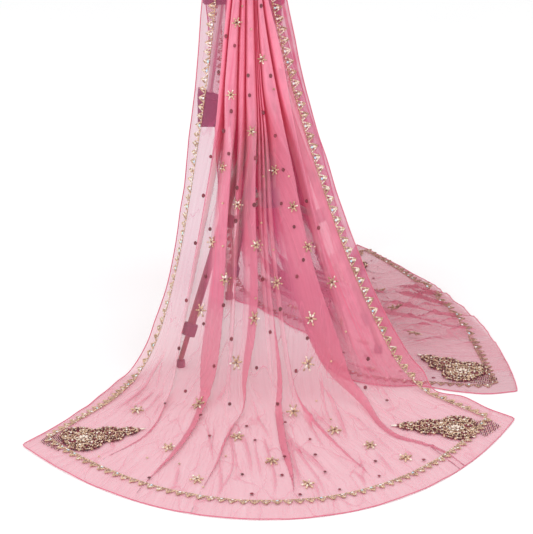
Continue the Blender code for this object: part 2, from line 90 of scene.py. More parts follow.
# Lines across the cloth: left selvedge, middle, right selvedge
STATIONS = np.array((
    ((-0.380, -0.415, 0), (0.026, -0.666, 0), (0.376, -0.333, 0)),
    ((-0.315, -0.318, 0), (0.022, -0.530, 0), (0.303, -0.256, 0)),
    ((-0.262, -0.235, 0), (-0.002, -0.405, 0), (0.268, -0.217, 0)),
    ((-0.225, -0.150, 0.006), (-0.022, -0.305, 0.006), (0.243, -0.193, 0.018)),
    ((-0.188, -0.122, 0.070), (-0.028, -0.262, 0.075), (0.208, -0.175, 0.062)),
    ((-0.150, -0.097, 0.220), (-0.034, -0.190, 0.240), (0.135, -0.135, 0.215)),
    ((-0.124, -0.068, 0.410), (-0.038, -0.112, 0.420), (0.070, -0.088, 0.410)),
    ((-0.108, -0.044, 0.585), (-0.042, -0.052, 0.585), (0.026, -0.048, 0.585)),
    ((-0.106, -0.034, 0.650), (-0.042, -0.034, 0.650), (0.022, -0.034, 0.650)),
    ((-0.105, -0.013, 0.668), (-0.042, -0.013, 0.668), (0.021, -0.013, 0.668)),
    ((-0.105, 0.013, 0.668), (-0.042, 0.013, 0.668), (0.021, 0.013, 0.668)),
    ((-0.105, 0.034, 0.650), (-0.042, 0.034, 0.650), (0.014, 0.034, 0.650)),
    ((-0.103, 0.050, 0.585), (-0.042, 0.056, 0.585), (0.004, 0.060, 0.585)),
    ((-0.097, 0.098, 0.420), (-0.032, 0.130, 0.420), (0.042, 0.165, 0.420)),
    ((-0.089, 0.150, 0.230), (-0.008, 0.210, 0.230), (0.094, 0.275, 0.225)),
    ((-0.081, 0.194, 0.070), (0.014, 0.265, 0.070), (0.130, 0.340, 0.060)),
    ((-0.068, 0.210, 0.006), (0.036, 0.284, 0.006), (0.140, 0.358, 0.006)),
    ((-0.018, 0.112, 0), (0.094, 0.262, 0), (0.146, 0.376, 0)),
    ((0.058, 0.030, 0), (0.152, 0.230, 0), (0.150, 0.394, 0)),
    ((0.120, -0.165, 0), (0.205, 0.202, 0), (0.153, 0.411, 0)),
    ((0.312, -0.222, 0), (0.266, 0.168, 0), (0.156, 0.428, 0)),
    ((0.393, -0.217, 0), (0.334, 0.120, 0), (0.160, 0.446, 0)),
), float)
LAST_LINE = len(STATIONS) - 1.0
BACK_TURN = (14.6, 15.6)

# Folds of the back half. line, share of the slack cloth taken up, lean of the folds
FOLD_FORM = (
    (9.5, 0.80, 0.15), (13.0, 0.80, 0.15), (14.6, 0.60, 0.30), (15.7, 0.30, 1.60),
    (16.6, 0.26, 2.20), (18.0, 0.26, 2.00), (19.6, 0.24, 1.20), (21.0, 0.06, 0.60),
)

# Front folds. On the floor and below the gathers they lie over to the right.
# fold: rows of line, left edge, right edge (shares across), height in mm
PLEATS = {
    3: ((0.5, .108, .112, 0), (0.93, .120, .130, 2.5), (1.67, .155, .168, 4), (2.7, .166, .184, 5),
        (3.3, .172, .192, 7), (3.87, .152, .178, 10), (4.4, .155, .180, 14), (5.07, .185, .212, 18),
        (5.6, .235, .268, 24), (6.1, .288, .331, 38), (6.6, .281, .333, 42), (7.15, .323, .380, 42),
        (8.0, .290, .365, 36), (9.5, .280, .360, 36)),
    4: ((0.45, .205, .212, 0), (0.8, .208, .222, 3), (1.2, .215, .238, 4), (2.2, .258, .290, 5),
        (3.07, .288, .335, 7), (3.5, .272, .352, 9), (4.1, .250, .375, 14), (4.55, .263, .388, 18),
        (4.93, .263, .388, 22), (5.33, .287, .400, 30), (6.1, .333, .446, 50), (6.6, .335, .446, 54),
        (7.15, .382, .470, 54), (8.0, .367, .470, 46), (9.5, .362, .465, 46)),
    5: ((3.4, .390, .395, 0), (3.8, .400, .412, 5), (4.5, .405, .425, 10), (5.3, .412, .434, 16),
        (6.1, .448, .506, 42), (6.6, .448, .519, 46), (7.15, .472, .530, 46), (8.0, .472, .540, 38),
        (9.5, .467, .540, 38)),
    6: ((0.7, .288, .294, 0), (1.0, .295, .306, 3), (1.87, .340, .358, 4), (2.4, .390, .410, 5),
        (3.07, .452, .475, 6), (3.73, .432, .472, 8), (4.13, .448, .512, 12), (4.53, .474, .546, 18),
        (5.33, .458, .548, 28), (6.1, .508, .596, 48), (6.6, .521, .604, 52), (7.15, .532, .622, 52),
        (8.0, .542, .632, 44), (9.5, .542, .632, 44)),
    7: ((4.2, .560, .566, 0), (4.5, .558, .564, 2), (5.4, .560, .566, 3), (6.1, .598, .612, 34),
        (6.6, .606, .616, 36), (7.15, .624, .632, 36), (8.0, .634, .642, 32), (9.5, .634, .642, 32)),
    8: ((0.55, .486, .490, 0), (0.73, .484, .494, 3), (1.2, .478, .500, 4), (1.73, .488, .517, 5),
        (3.0, .546, .580, 6), (3.6, .570, .604, 7), (4.0, .572, .608, 9), (4.4, .574, .596, 9),
        (4.8, .580, .590, 3), (5.4, .584, .592, 4), (6.1, .614, .628, 36), (6.6, .618, .627, 38),
        (7.15, .634, .642, 38), (8.0, .644, .652, 34), (9.5, .644, .652, 34)),
    9: ((0.5, .685, .690, 0), (0.67, .683, .692, 2.5), (1.33, .656, .669, 3.5), (2.13, .643, .660, 5),
        (3.0, .630, .648, 6), (3.6, .622, .638, 7), (4.1, .618, .636, 8), (4.6, .616, .630, 8),
        (4.9, .616, .624, 3), (5.4, .616, .628, 5), (6.1, .630, .646, 38), (6.6, .629, .640, 40),
        (7.15, .644, .656, 42), (8.0, .654, .668, 36), (9.5, .654, .668, 36)),
    10: ((0.5, .868, .875, 0), (0.7, .856, .870, 3), (1.1, .806, .828, 4), (1.6, .788, .813, 5),
         (2.5, .798, .826, 6), (3.0, .792, .830, 7), (3.7, .750, .815, 9), (4.15, .700, .825, 14),
         (4.93, .645, .787, 22), (5.4, .648, .787, 30), (6.1, .648, .768, 50), (6.6, .642, .734, 54),
         (7.15, .658, .705, 54), (8.0, .670, .722, 46), (9.5, .670, .727, 46)),
    11: ((3.9, .840, .846, 0), (4.2, .845, .858, 6), (4.9, .830, .855, 10), (5.4, .815, .850, 16),
         (6.1, .770, .832, 44), (6.6, .736, .865, 48), (7.15, .707, .750, 46), (8.0, .724, .790, 40),
         (9.5, .729, .800, 40)),
}
FOLD_GAP = 0.0004
GATHERS = (5.5, 6.3)
FRONT_FOLDS_END = 11.5

# Thin creases on the floor: width and height in mm, then rows of line and share across
CREASES = {
    "front": (
        (6, 2.6, ((3.2, .887), (2.5, .875), (2.1, .875), (1.5, .880))),
        (6, 2.4, ((3.5, .735), (2.8, .738), (1.6, .700))),
        (6, 2.4, ((2.7, .745), (2.2, .772), (1.5, .768), (0.9, .778))),
        (5, 2.0, ((2.3, .562), (1.2, .528), (0.55, .525))),
        (5, 1.8, ((1.0, .655), (0.45, .678))),
        (8, 3.4, ((3.9, .103), (3.3, .082), (2.8, .085), (2.3, .066), (1.5, .040))),
        (7, 2.6, ((3.0, .118), (2.6, .122), (2.2, .084), (1.2, .052))),
        (6, 2.4, ((2.4, .240), (2.0, .192), (0.9, .150), (0.5, .120))),
        (5, 2.0, ((2.1, .272), (1.7, .222), (1.2, .170))),
        (6, 2.2, ((3.7, .412), (3.3, .380), (2.9, .345))),
        (5, 2.0, ((2.1, .556), (1.6, .574), (1.2, .588), (0.7, .604))),
        (5, 1.8, ((2.3, .430), (1.6, .425), (0.9, .415))),
        (5, 1.6, ((1.2, .245), (0.7, .262), (0.3, .270))),
        (5, 1.6, ((1.3, .345), (0.8, .350), (0.3, .362))),
        (5, 2.0, ((1.4, .742), (0.9, .735), (0.4, .742))),
        (5, 2.0, ((1.2, .855), (0.8, .845), (0.35, .850))),
        (4, 1.6, ((0.9, .560), (0.3, .566))),
    ),
    "back": (
        (7, 3.4, ((17.6, .330), (19.1, .340), (19.5, .420), (20.3, .520))),
        (6, 3.0, ((17.9, .290), (19.1, .320), (19.5, .385), (20.4, .480))),
        (7, 3.4, ((17.8, .210), (19.2, .240), (19.6, .330), (20.5, .430))),
        (6, 3.0, ((18.3, .180), (19.4, .212), (20.0, .335), (20.9, .385))),
        (7, 3.2, ((18.6, .140), (19.4, .168), (20.2, .280), (20.9, .335))),
        (6, 2.8, ((18.9, .120), (19.6, .150), (20.3, .235), (20.9, .275))),
        (5, 2.4, ((19.3, .100), (19.8, .165), (20.6, .205))),
        (7, 3.2, ((16.8, .420), (18.2, .430), (19.6, .520), (20.6, .600))),
        (7, 3.0, ((16.6, .500), (18.0, .520), (19.4, .600), (20.5, .660))),
        (6, 3.0, ((16.6, .580), (18.2, .620), (19.6, .680), (20.7, .730))),
        (6, 2.8, ((16.6, .660), (18.0, .700), (19.2, .750), (20.2, .800))),
        (6, 2.6, ((16.6, .240), (17.6, .200), (18.6, .120), (19.2, .060))),
        (6, 2.4, ((17.0, .780), (18.4, .800), (19.8, .850))),
    ),
}

# Short creases that fill the floor: how many, first and last line, seed
SHORT_CREASES = {"front": (24, 0.25, 3.9, 3), "back": (44, 16.6, 20.8, 4)}

# Places where the folds are smoothed out: x, y, radius
FLAT_SPOTS = (
    (-0.240, -0.385, 0.100), (0.250, -0.352, 0.100), (0.1785, -0.0650, 0.075),
    (0.315, -0.150, 0.125), (0.168, 0.315, 0.115),
)

# Embroidery
TOOTH_PITCH = {"left": 0.0146, "hem": 0.0158, "right": 0.0172}
HEM_TEETH_LINE = {"front": 0.41, "back": 20.45}
# Rows of flowers of the front half, from its hem: the first row, then the distance between rows and
# between flowers where the cloth lies open, and where it is gathered
FIRST_FLOWERS = 0.105
OPEN_FLOWERS = (0.085, 0.155)
GATHERED_FLOWERS = (0.058, 0.080)
FLOWER_MARGIN = 0.045
# Rows of sequins of the front half: the first row, their clear edge and their clear ring round a flower
FIRST_SEQUINS = 0.078
SEQUIN_MARGIN = 0.036
SEQUIN_RING = 0.018
# How far beads stand off the cloth. The back half lies wrong side up, so they lie below its sheet
BORDER_LIFT = {"front": 0.0011, "back": -0.0002}
SCATTER_LIFT = {"front": 0.0010, "back": -0.0002}
# How far around a place the outermost cloth is looked for
PROBE = 0.0035
# Rows of flowers of the back half, from its hem: distance along, first place across, spacing
BACK_FLOWERS = (
    (0.135, 0.132, 0.163), (0.238, 0.078, 0.153), (0.345, 0.040, 0.150),
    (0.430, 0.120, 0.155), (0.535, 0.055, 0.155), (0.640, 0.132, 0.155),
    (0.745, 0.055, 0.155), (0.850, 0.132, 0.155), (0.955, 0.055, 0.155),
    (1.060, 0.132, 0.155),
)
# How much denser the bunched cloth to the right of the front folds is: line, strength
BUNCHED = ((2.6, 0.0), (3.6, 0.38), (4.4, 0.80), (5.0, 0.92), (6.4, 0.92), (7.4, 0.85), (9.5, 0.80))
MOTIF_LENGTH = 0.126
MOTIF_WIDTH = 0.078
MOTIF_LIFT = 0.0026
# The lobes of a motif's outline: middle and reach as shares of its length, share of its width, power
MOTIF_LOBES = (
    (0.20, 0.13, 0.27, 2.2), (0.42, 0.17, 0.60, 2.2), (0.60, 0.16, 0.55, 2.0), (0.78, 0.235, 1.0, 2.4),
)
# Lines of beads round a motif: distance inside its outline, spacing, colours in turn, bead size, lift
MOTIF_CORDS = (
    (-0.0026, 0.0066, ("maroon", "gold", "plum"), (0.0050, 0.0044, 0.0030), 0.0),
    (0.0, 0.0029, ("gold", "maroon", "gold", "cream", "gold"), (0.0034, 0.0026, 0.0028), 0.0006),
    (0.0028, 0.0028, ("maroon", "plum"), (0.0038, 0.0028, 0.0022), 0.0),
    (0.0062, 0.0031, ("gold", "maroon", "gold", "plum"), (0.0034, 0.0025, 0.0028), 0.0006),
)
# Layers that fill a motif: shape, least spacing, distance inside the outline, sizes, share of each
# colour, lift
MOTIF_FILLS = (
    ("sequin", 0.0036, 0.0020, (0.0050, 0.0062), {"maroon": 0.55, "plum": 0.45}, -0.0010),
    ("bead", 0.0034, 0.0065, (0.0024, 0.0038),
     {"gold": 0.42, "cream": 0.10, "maroon": 0.30, "plum": 0.18}, 0.0002),
)
FILL_TRIES = 2600
# Rosettes of this radius have eight petals, and larger ones two more rings
LARGE_ROSETTE = 0.008
# Corner motifs: tip, middle of the blunt end, corner of the border
MOTIFS = {
    "motif_front_left": ("front", (-0.196, -0.368), (-0.312, -0.414), (-0.344, -0.402)),
    "motif_front_right": ("front", (0.190, -0.356), (0.314, -0.366), (0.348, -0.345)),
    "motif_back_near": ("back", (0.246, -0.080), (0.334, -0.168), (0.357, -0.192)),
    "motif_back_far": ("back", (0.142, 0.236), (0.132, 0.360), (0.124, 0.396)),
}
# Rosettes of a motif: share of its length from the tip, place across, radius, petal colour
ROSETTES = (
    (0.200, 0.0000, 0.0052, "maroon"), (0.420, 0.0010, 0.0095, "maroon"), (0.560, -0.0060, 0.0060, "maroon"),
    (0.565, 0.0090, 0.0055, "gold"), (0.745, -0.0010, 0.0135, "cream"), (0.900, 0.0050, 0.0080, "maroon"),
    (0.690, -0.0230, 0.0055, "gold"), (0.700, 0.0225, 0.0058, "maroon"), (0.850, -0.0220, 0.0062, "maroon"),
    (0.850, 0.0240, 0.0055, "gold"), (0.945, -0.0110, 0.0056, "gold"),
)
MOTIF_LEAVES = (
    (0.13, 0.0, 0.0), (0.27, 0.0, 0.0), (0.36, 0.0105, 0.5), (0.37, -0.0105, -0.5), (0.50, 0.0010, 1.4),
    (0.62, 0.0150, 0.8), (0.62, -0.0140, -0.7), (0.76, -0.0200, 0.3), (0.78, 0.0200, -0.3),
    (0.90, -0.0090, -0.9), (0.92, 0.0170, 0.9), (0.975, 0.0020, 1.5),
)

low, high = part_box("stand_column_lower")
AXIS = Vector(((low.x + high.x) / 2, (low.y + high.y) / 2, 0))
dice = random.Random(7)

# The photograph's view: the camera's place from the stand's axis, its tilt down in degrees and its lens in mm
CAMERA_PLACE = Vector((-0.006, -3.63, 1.52))
CAMERA_TILT = 21
CAMERA_LENS = 158.05
FLOOR_REACH = 14


# ---------------------------------------------------------------- cloth shape

def smoothstep(value, start, end):
    """Rise smoothly from 0 at start to 1 at end."""
    share = np.clip((value - start) / (end - start), 0.0, 1.0)
    return share * share * (3 - 2 * share)


def between(table, line):
    """The values of a table at a line, blended smoothly from row to row."""
    if line <= table[0][0]:
        return list(table[0][1:])
    for first, second in zip(table, table[1:]):
        if line <= second[0]:
            share = float(smoothstep(line, first[0], second[0]))
            return [a + (b - a) * share for a, b in zip(first[1:], second[1:])]
    return list(table[-1][1:])


def guides(line):
    """The left, middle and right guide points at a line."""
    last = len(STATIONS) - 1
    i = min(max(int(math.floor(line)), 0), last - 1)
    t = line - i
    a, b = STATIONS[i], STATIONS[i + 1]
    before = STATIONS[i - 1] if i > 0 else 2 * a - b
    after = STATIONS[i + 2] if i + 2 <= last else 2 * b - a
    points = (
        a * (2 * t**3 - 3 * t**2 + 1)
        + (b - before) / 2 * (t**3 - 2 * t**2 + t)
        + b * (3 * t**2 - 2 * t**3)
        + (after - a) / 2 * (t**3 - t**2)
    )
    points[:, 2] = np.maximum(points[:, 2], 0) + REST_HEIGHT
    return points


def surface(across, line):
    """Points of the plain surface that the folds stand on."""
    left, middle, right = guides(line)
    a = np.asarray(across, float)[:, None]
    points = left * ((1 - a) * (1 - 2 * a)) + middle * (4 * a * (1 - a)) + right * (a * (2 * a - 1))
    outward = middle - (left + right) / 2
    outward /= np.linalg.norm(outward)
    points += outward * between(HEM_BULGES, line)[0] * 16 * a * (1 - a) * (1 - 2 * a) ** 2
    points[:, 2] = np.maximum(points[:, 2], REST_HEIGHT)
    return points


def unit(vectors):
    """Vectors scaled to a length of one."""
    return vectors / np.maximum(np.linalg.norm(vectors, axis=-1, keepdims=True), 1e-12)


def surface_normals(across, line):
    """The direction that the right side of the cloth faces."""
    step = 0.02
    side = surface(across + step, line) - surface(across - step, line)
    ends = max(line - step, 0.0), min(line + step, LAST_LINE)
    along = surface(across, ends[1]) - surface(across, ends[0])
    return unit(np.cross(side, along))


def strip_widths(width):
    """The width of each strip and fold where the whole section is this wide."""
    cloth, tight, deep = (np.array(column) for column in zip(*FOLDS))
    spread = min(max((width - tight.sum()) / (CLOTH_WIDTH - tight.sum()), 0.0), 1.0)
    folds = deep > 0
    widths = tight + (cloth - tight) * spread
    room = width - widths[~folds].sum()
    share = (1 - spread) * tight / tight[folds].sum() + spread * cloth / cloth[folds].sum()
    return np.where(folds, room * share, widths)


def noise(x, y, seed):
    """Smooth noise from 0 to 1 on a seeded grid of spacing one."""
    grid = np.random.RandomState(seed).rand(128, 128)
    x, y = np.asarray(x, float) + 40, np.asarray(y, float) + 40
    i, j = np.floor(x).astype(int), np.floor(y).astype(int)
    s, t = x - i, y - j
    s, t = s * s * (3 - 2 * s), t * t * (3 - 2 * t)
    i, j, k, m = i % 128, j % 128, (i + 1) % 128, (j + 1) % 128
    low_row = grid[i, j] * (1 - s) + grid[k, j] * s
    high_row = grid[i, m] * (1 - s) + grid[k, m] * s
    return low_row * (1 - t) + high_row * t


def ridge(x, centre, half, power, edge):
    """A ridge of height one: rounded where power is low, square where it is high."""
    q = np.abs((x - centre) / max(half, 1e-5))
    return np.where(q < 1, np.maximum(1 - q**power, 0) ** edge, 0.0)


def path_at(table, line):
    """The values of a table at a line, along evened straight runs."""
    lines = [row[0] for row in table]
    steps = (-0.32, -0.16, 0, 0.16, 0.32)
    return [float(np.mean([np.interp(line + d, lines, [row[k] for row in table]) for d in steps]))
            for k in range(1, len(table[0]))]


def front_fold(index, line, to_x):
    """A fold of the front half: a pleat laid over, or an upright tube in the gathers."""
    left, right, tall = path_at(PLEATS[index], line)
    left, right, tall = to_x(left), to_x(right), tall * 0.001
    gathered = float(smoothstep(line, *GATHERS))
    half = 0.0028 + 0.12 * tall
    laid = np.array([left + half, half, tall, max(right - left - half, 0), 2.0, 1.0])
    tube = np.array([(left + right) / 2, (right - left) / 2, tall, 0.04 * tall, 5.0, 0.40])
    return laid + (tube - laid) * gathered


def back_fold(index, line, strips, depth, lean):
    """A fold of the back half, uneven along its length."""
    start = strips[:index].sum()
    wander = 0.16 * (noise(line * 0.9, index * 3.7, 5) - 0.5) * strips[index]
    tall = depth * FOLDS[index][2] * (0.9 + 0.2 * noise(line * 0.7, index * 5.1, 9))
    return np.array([start + strips[index] / 2 + wander, strips[index] * 0.48, tall, lean * tall, 2.6, 0.62])


def fold_list(line, half_name, width, strips, to_x):
    """The folds at a line: centre, half width, height, shift of the tip, power, edge."""
    take_up, lean = between(FOLD_FORM, line)
    depth = take_up * max(CLOTH_WIDTH - width, 0) / SLACK_PER_DEPTH
    behind = float(smoothstep(line, TOP_LINE, FRONT_FOLDS_END)) if half_name == "back" else 0.0
    folds = []
    for index in PLEATS:
        spec = front_fold(index, min(line, TOP_LINE), to_x)
        if behind > 0:
            spec = spec + (back_fold(index, line, strips, depth, lean) - spec) * behind
        folds.append(spec)
    for first, second in zip(folds, folds[1:]):
        overlap = first[0] + first[1] + FOLD_GAP - (second[0] - second[1])
        if overlap > 0:
            for spec, side in ((first, -1), (second, 1)):
                spec[0] += side * overlap / 4
                spec[1] = max(spec[1] - overlap / 4, 0.0006)
    return folds


def section(x, folds, scale, turned, extra):
    """The rise and the sideways shift of the cloth at places across a row."""
    rise, shift = extra[0].copy(), extra[1].copy()
    for centre, half, tall, tip, power, edge in folds:
        shape = ridge(x, centre, half, power, edge) * (1 - turned)
        if turned > 0:
            shape -= turned * ridge(x, centre, half * 0.9, 2.0, 1.3)
        rise += tall * scale * shape
        shift += tip * np.abs(shape)
    return rise, shift


def short_creases(half_name):
    """Seeded fine creases, 1.0 to 2.4 lines long, that fan out towards the hem."""
    count, low_line, high_line, seed = SHORT_CREASES[half_name]
    chance = random.Random(seed)
    made = []
    for _ in range(count):
        start = chance.uniform(low_line, high_line - 1.0)
        stop = min(start + chance.uniform(1.0, 2.4), high_line)
        place = chance.uniform(0.05, 0.95)
        drift = chance.uniform(-0.055, 0.055)
        middle = (start + stop) / 2, place + drift / 2 + chance.uniform(-0.014, 0.014)
        path = (start, place), middle, (stop, place + drift)
        made.append((chance.uniform(2.2, 4.2), chance.uniform(0.8, 2.0), path))
    return made


ALL_CREASES = {half: (*CREASES[half], *short_creases(half)) for half in CREASES}


def creases_at(line, half_name, x, to_x):
    """The rise, shift and strength of the thin creases across a row."""
    rise, shift, crease = np.zeros(len(x)), np.zeros(len(x)), np.zeros(len(x))
    sign = -1 if half_name == "back" else 1
    for wide, tall, path in ALL_CREASES[half_name]:
        rows = sorted(path)
        first, last = rows[0][0], rows[-1][0]
        if not first < line < last:
            continue
        place = path_at(rows, line)[0]
        soft = min(0.5, (last - first) / 2)
        fade = min(smoothstep(line, first, first + soft), 1 - smoothstep(line, last - soft, last))
        shape = ridge(x, to_x(place), wide * 0.0006, 2.0, 1.2) * fade
        rise += sign * tall * 0.001 * shape
        shift += wide * 0.0005 * shape
        crease += shape
    return rise, shift, crease


def row_frame(line, half_name):
    """The lengths, folds and creases of a row before the folds are scaled."""
    shares = np.linspace(0, 1, 161)
    lengths = np.linalg.norm(np.diff(surface(shares, line), axis=0), axis=1)
    lengths = np.concatenate([[0], np.cumsum(lengths)])
    width = float(lengths[-1])

    def to_x(share):
        return float(np.interp(share, shares, lengths))

    strips = strip_widths(width)
    ends = strips[0] + strips[1], width - strips[-1] - strips[-2]
    x = np.linspace(*ends, DENSE)
    folds = fold_list(line, half_name, width, strips, to_x)
    rise, shift, crease = creases_at(line, half_name, x, to_x)
    if half_name == "back":
        on_floor = float(smoothstep(line, 15.2, 16.6)) * (1 - 0.6 * float(smoothstep(line, 20.2, 21.0)))
        wave = noise(x / 0.019 + 0.6 * line, line * 0.55, 51)
        rise = rise - on_floor * 0.0125 * (1 - np.abs(2 * wave - 1)) ** 1.3
    fade = smoothstep(np.minimum(x - ends[0], ends[1] - x), 0.0, 0.012)
    return shares, lengths, ends, x, folds, (rise * fade, shift * fade), crease


def upright_share(line):
    """How far the folds stand up in the gathers, from 0 to 1."""
    return float(smoothstep(line, *GATHERS) * (1 - smoothstep(line, *BACK_TURN)))


def fold_scale(line, half_name):
    """The factor on the folds' heights that takes up the slack cloth at a line."""
    _, lengths, ends, x, folds, extra, _ = row_frame(line, half_name)
    width = float(lengths[-1])
    target = width + SLACK_TAKEN * (CLOTH_WIDTH - width)
    scale = 1.0
    for _ in range(8):
        rise, shift = section(x, folds, scale, 0.0, extra)
        total = np.hypot(np.diff(x + shift), np.diff(rise)).sum() + width - (ends[1] - ends[0])
        scale *= 1 + 0.9 * (target / total - 1)
    return 1 + (min(scale, MOST_GROWTH) - 1) * upright_share(line)


def cloth_row(line, half_name, scale):
    """One row: plain points, normals, rise, steepness, creases, grooves, piled and bunched cloth."""
    shares, lengths, ends, x, folds, extra, crease = row_frame(line, half_name)
    width = float(lengths[-1])
    turned = float(smoothstep(line, *BACK_TURN))
    rise, shift = section(x, folds, scale, turned, extra)
    bent = x + shift
    run = np.hypot(np.diff(bent), np.diff(rise))
    arc = np.concatenate([[0], np.cumsum(run)])
    targets = np.linspace(0, arc[-1], INNER_COLUMNS + 1)
    steep = np.concatenate([[0], np.abs(np.diff(rise)) / np.maximum(run, 1e-9)])
    folded = np.clip(3 * np.max([ridge(x, f[0], f[1], f[4], f[5]) for f in folds], axis=0), 0, 1)
    upright = upright_share(line)
    first, last = min(f[0] - f[1] for f in folds), max(f[0] + f[1] for f in folds)
    gathered = smoothstep(x, first - 0.002, first + 0.001) * (1 - smoothstep(x, last - 0.001, last + 0.002))
    # How deep a place lies in the grooves between upright folds; the net material paints shade and a glow
    # there from it
    deep = np.clip(1 - rise / max(float(np.max(rise)), 1e-4), 0, 1) * upright * gathered
    hanging = 0.45 + 0.40 * float(smoothstep(line, 3.6, 5.2)) if half_name == "front" else 0.6
    pile = folded * hanging + (gathered - folded * hanging) * upright
    inner = [np.interp(targets, arc, values) for values in (bent, rise, steep, crease, deep, pile)]
    side = np.linspace(0, 1, MARGIN_COLUMNS + 1)[:-1]
    pad = np.zeros(MARGIN_COLUMNS)
    x = np.concatenate([side * ends[0], inner[0], width - side[::-1] * (width - ends[1])])
    rise, steep, crease, deep, pile = (np.concatenate([pad, part, pad]) for part in inner[1:])
    share = np.interp(x, lengths, shares)
    bunched = pile * upright
    if half_name == "front":
        beside = between(BUNCHED, line)[0] * smoothstep(x, last - 0.002, last + 0.006)
        gap = smoothstep(share, 0.28, 0.31) * (1 - smoothstep(share, 0.40, 0.43))
        gap *= float(smoothstep(line, 4.35, 4.6) * (1 - smoothstep(line, 5.9, 6.1)))
        beside = np.maximum(beside, 0.75 * gap)
        pile = np.maximum(pile, beside * np.where(x > ends[1], 0.25, 1.0))
        bunched = np.maximum(bunched, beside)
    base = surface(share, line)
    middle = surface_normals(np.array([0.5]), line)
    normals = unit(0.35 * surface_normals(share, line) + 0.65 * middle)
    keep = np.ones(len(x))
    for spot_x, spot_y, radius in FLAT_SPOTS:
        distance = np.hypot(base[:, 0] - spot_x, base[:, 1] - spot_y)
        near_floor = 1 - smoothstep(base[:, 2], 0.02, 0.08)
        keep *= 1 - near_floor * (1 - smoothstep(distance, radius * 0.7, radius * 1.4))
    return base, normals, rise * keep, steep * keep, crease * keep, deep, pile, bunched


def make_sheet(half_name):
    """The grid of one half of the cloth, from its hem to the top of the stand."""
    ends = (0.0, TOP_LINE) if half_name == "front" else (LAST_LINE, TOP_LINE)
    fine = np.linspace(*ends, 500)
    middles = np.array([guides(line)[1] for line in fine])
    arc = np.concatenate([[0], np.cumsum(np.linalg.norm(np.diff(middles, axis=0), axis=1))])
    lines = np.interp(np.linspace(0, arc[-1], ROWS[half_name] + 1), arc, fine)
    places = np.linspace(min(ends), max(ends), 48)
    scales = np.array([fold_scale(float(line), half_name) for line in places])
    scales = np.convolve(np.pad(scales, 2, "edge"), np.ones(5) / 5, "valid")
    rows = [cloth_row(float(line), half_name, float(np.interp(line, places, scales))) for line in lines]
    base, normals, rise, steep, crease, deep, pile, bunched = (np.array(part) for part in zip(*rows))
    u = np.concatenate([
        np.linspace(0, BAND[1], MARGIN_COLUMNS + 1)[:-1],
        np.linspace(BAND[1], CLOTH_WIDTH - BAND[1], INNER_COLUMNS + 1),
        np.linspace(CLOTH_WIDTH - BAND[1], CLOTH_WIDTH, MARGIN_COLUMNS + 1)[1:],
    ])
    points = base + normals * rise[:, :, None]
    v = column_lengths(points)
    seed = 11 if half_name == "front" else 31
    low_down = 1 - smoothstep(base[:, :, 2], 0.02, 0.12)
    soft = noise(u[None, :] / 0.018 + v * 4, v / 0.11, seed) ** 2 * 0.0010
    soft += noise(u[None, :] / 0.045, v / 0.06, seed + 1) * 0.0009
    hung = (noise(u[None, :] / 0.010, v / 0.25, seed + 2) - 0.5) * 0.0022
    edge = np.minimum(u, CLOTH_WIDTH - u)[None, :]
    ripple = (noise(v / 0.035, u[None, :] * 4, seed + 3) - 0.5) * 0.004 * (1 - smoothstep(edge, 0.0, 0.05))
    lift = low_down * soft * off_floor(normals, half_name) + (1 - low_down) * (hung + ripple)
    points = points + normals * lift[:, :, None]
    wave = (noise(v / 0.052, u[None, :] * 2, seed + 4) - 0.5) * (0.0036 + 0.0240 * low_down)
    across = unit(np.gradient(base, axis=1))
    points += across * (wave * (1 - smoothstep(edge, 0.0, 0.03)))[:, :, None]
    points[:, :, 2] = np.maximum(points[:, :, 2], REST_HEIGHT)
    return {
        "name": half_name, "lines": lines, "u": u, "v": column_lengths(points), "points": points,
        "normals": grid_normals(points), "steep": steep, "crease": crease, "deep": deep,
        # hung rises with height off the floor; the net material paints shade on the hanging cloth from it
        "pile": pile, "bunched": bunched, "hung": smoothstep(points[:, :, 2], 0.02, 0.22),
    }


def off_floor(normals, half_name):
    """Plus or minus one, whichever moves a point of the sheet away from the floor."""
    upside_down = (normals[:, :, 2] < -0.2) & (half_name == "back")
    return np.where(upside_down, -1.0, 1.0)


def column_lengths(points):
    """The distance along each column from the first row."""
    steps = np.linalg.norm(np.diff(points, axis=0), axis=2)
    return np.concatenate([np.zeros((1, points.shape[1])), np.cumsum(steps, axis=0)])


def grid_normals(points):
    """The normals of a grid of points, on the right side of the cloth."""
    return unit(np.cross(np.gradient(points, axis=1), np.gradient(points, axis=0)))


# ------------------------------------------------------------------- meshes

def new_object(name, vertices, faces, materials):
    """A smooth mesh object that rides on the part, from points about the stand's axis."""
    mesh = bpy.data.meshes.new(name)
    vertices = np.asarray(vertices, float) + np.array(AXIS)
    faces = np.asarray(faces, int)
    sides = faces.shape[1]
    mesh.vertices.add(len(vertices))
    mesh.vertices.foreach_set("co", vertices.astype(np.float32).ravel())
    mesh.loops.add(faces.size)
    mesh.loops.foreach_set("vertex_index", faces.astype(np.int32).ravel())
    mesh.polygons.add(len(faces))
    mesh.polygons.foreach_set("loop_start", (np.arange(len(faces)) * sides).astype(np.int32))
    mesh.polygons.foreach_set("loop_total", np.full(len(faces), sides, np.int32))
    mesh.update(calc_edges=True)
    mesh.validate()
    mesh.shade_smooth()
    item = bpy.data.objects.new(name, mesh)
    for look in materials:
        mesh.materials.append(look)
    bpy.context.scene.collection.objects.link(item)
    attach(item, "root")
    return item


def point_values(item, name, values):
    """Store one number per vertex."""
    attribute = item.data.attributes.new(name, "FLOAT", "POINT")
    attribute.data.foreach_set("value", np.asarray(values, np.float32).ravel())


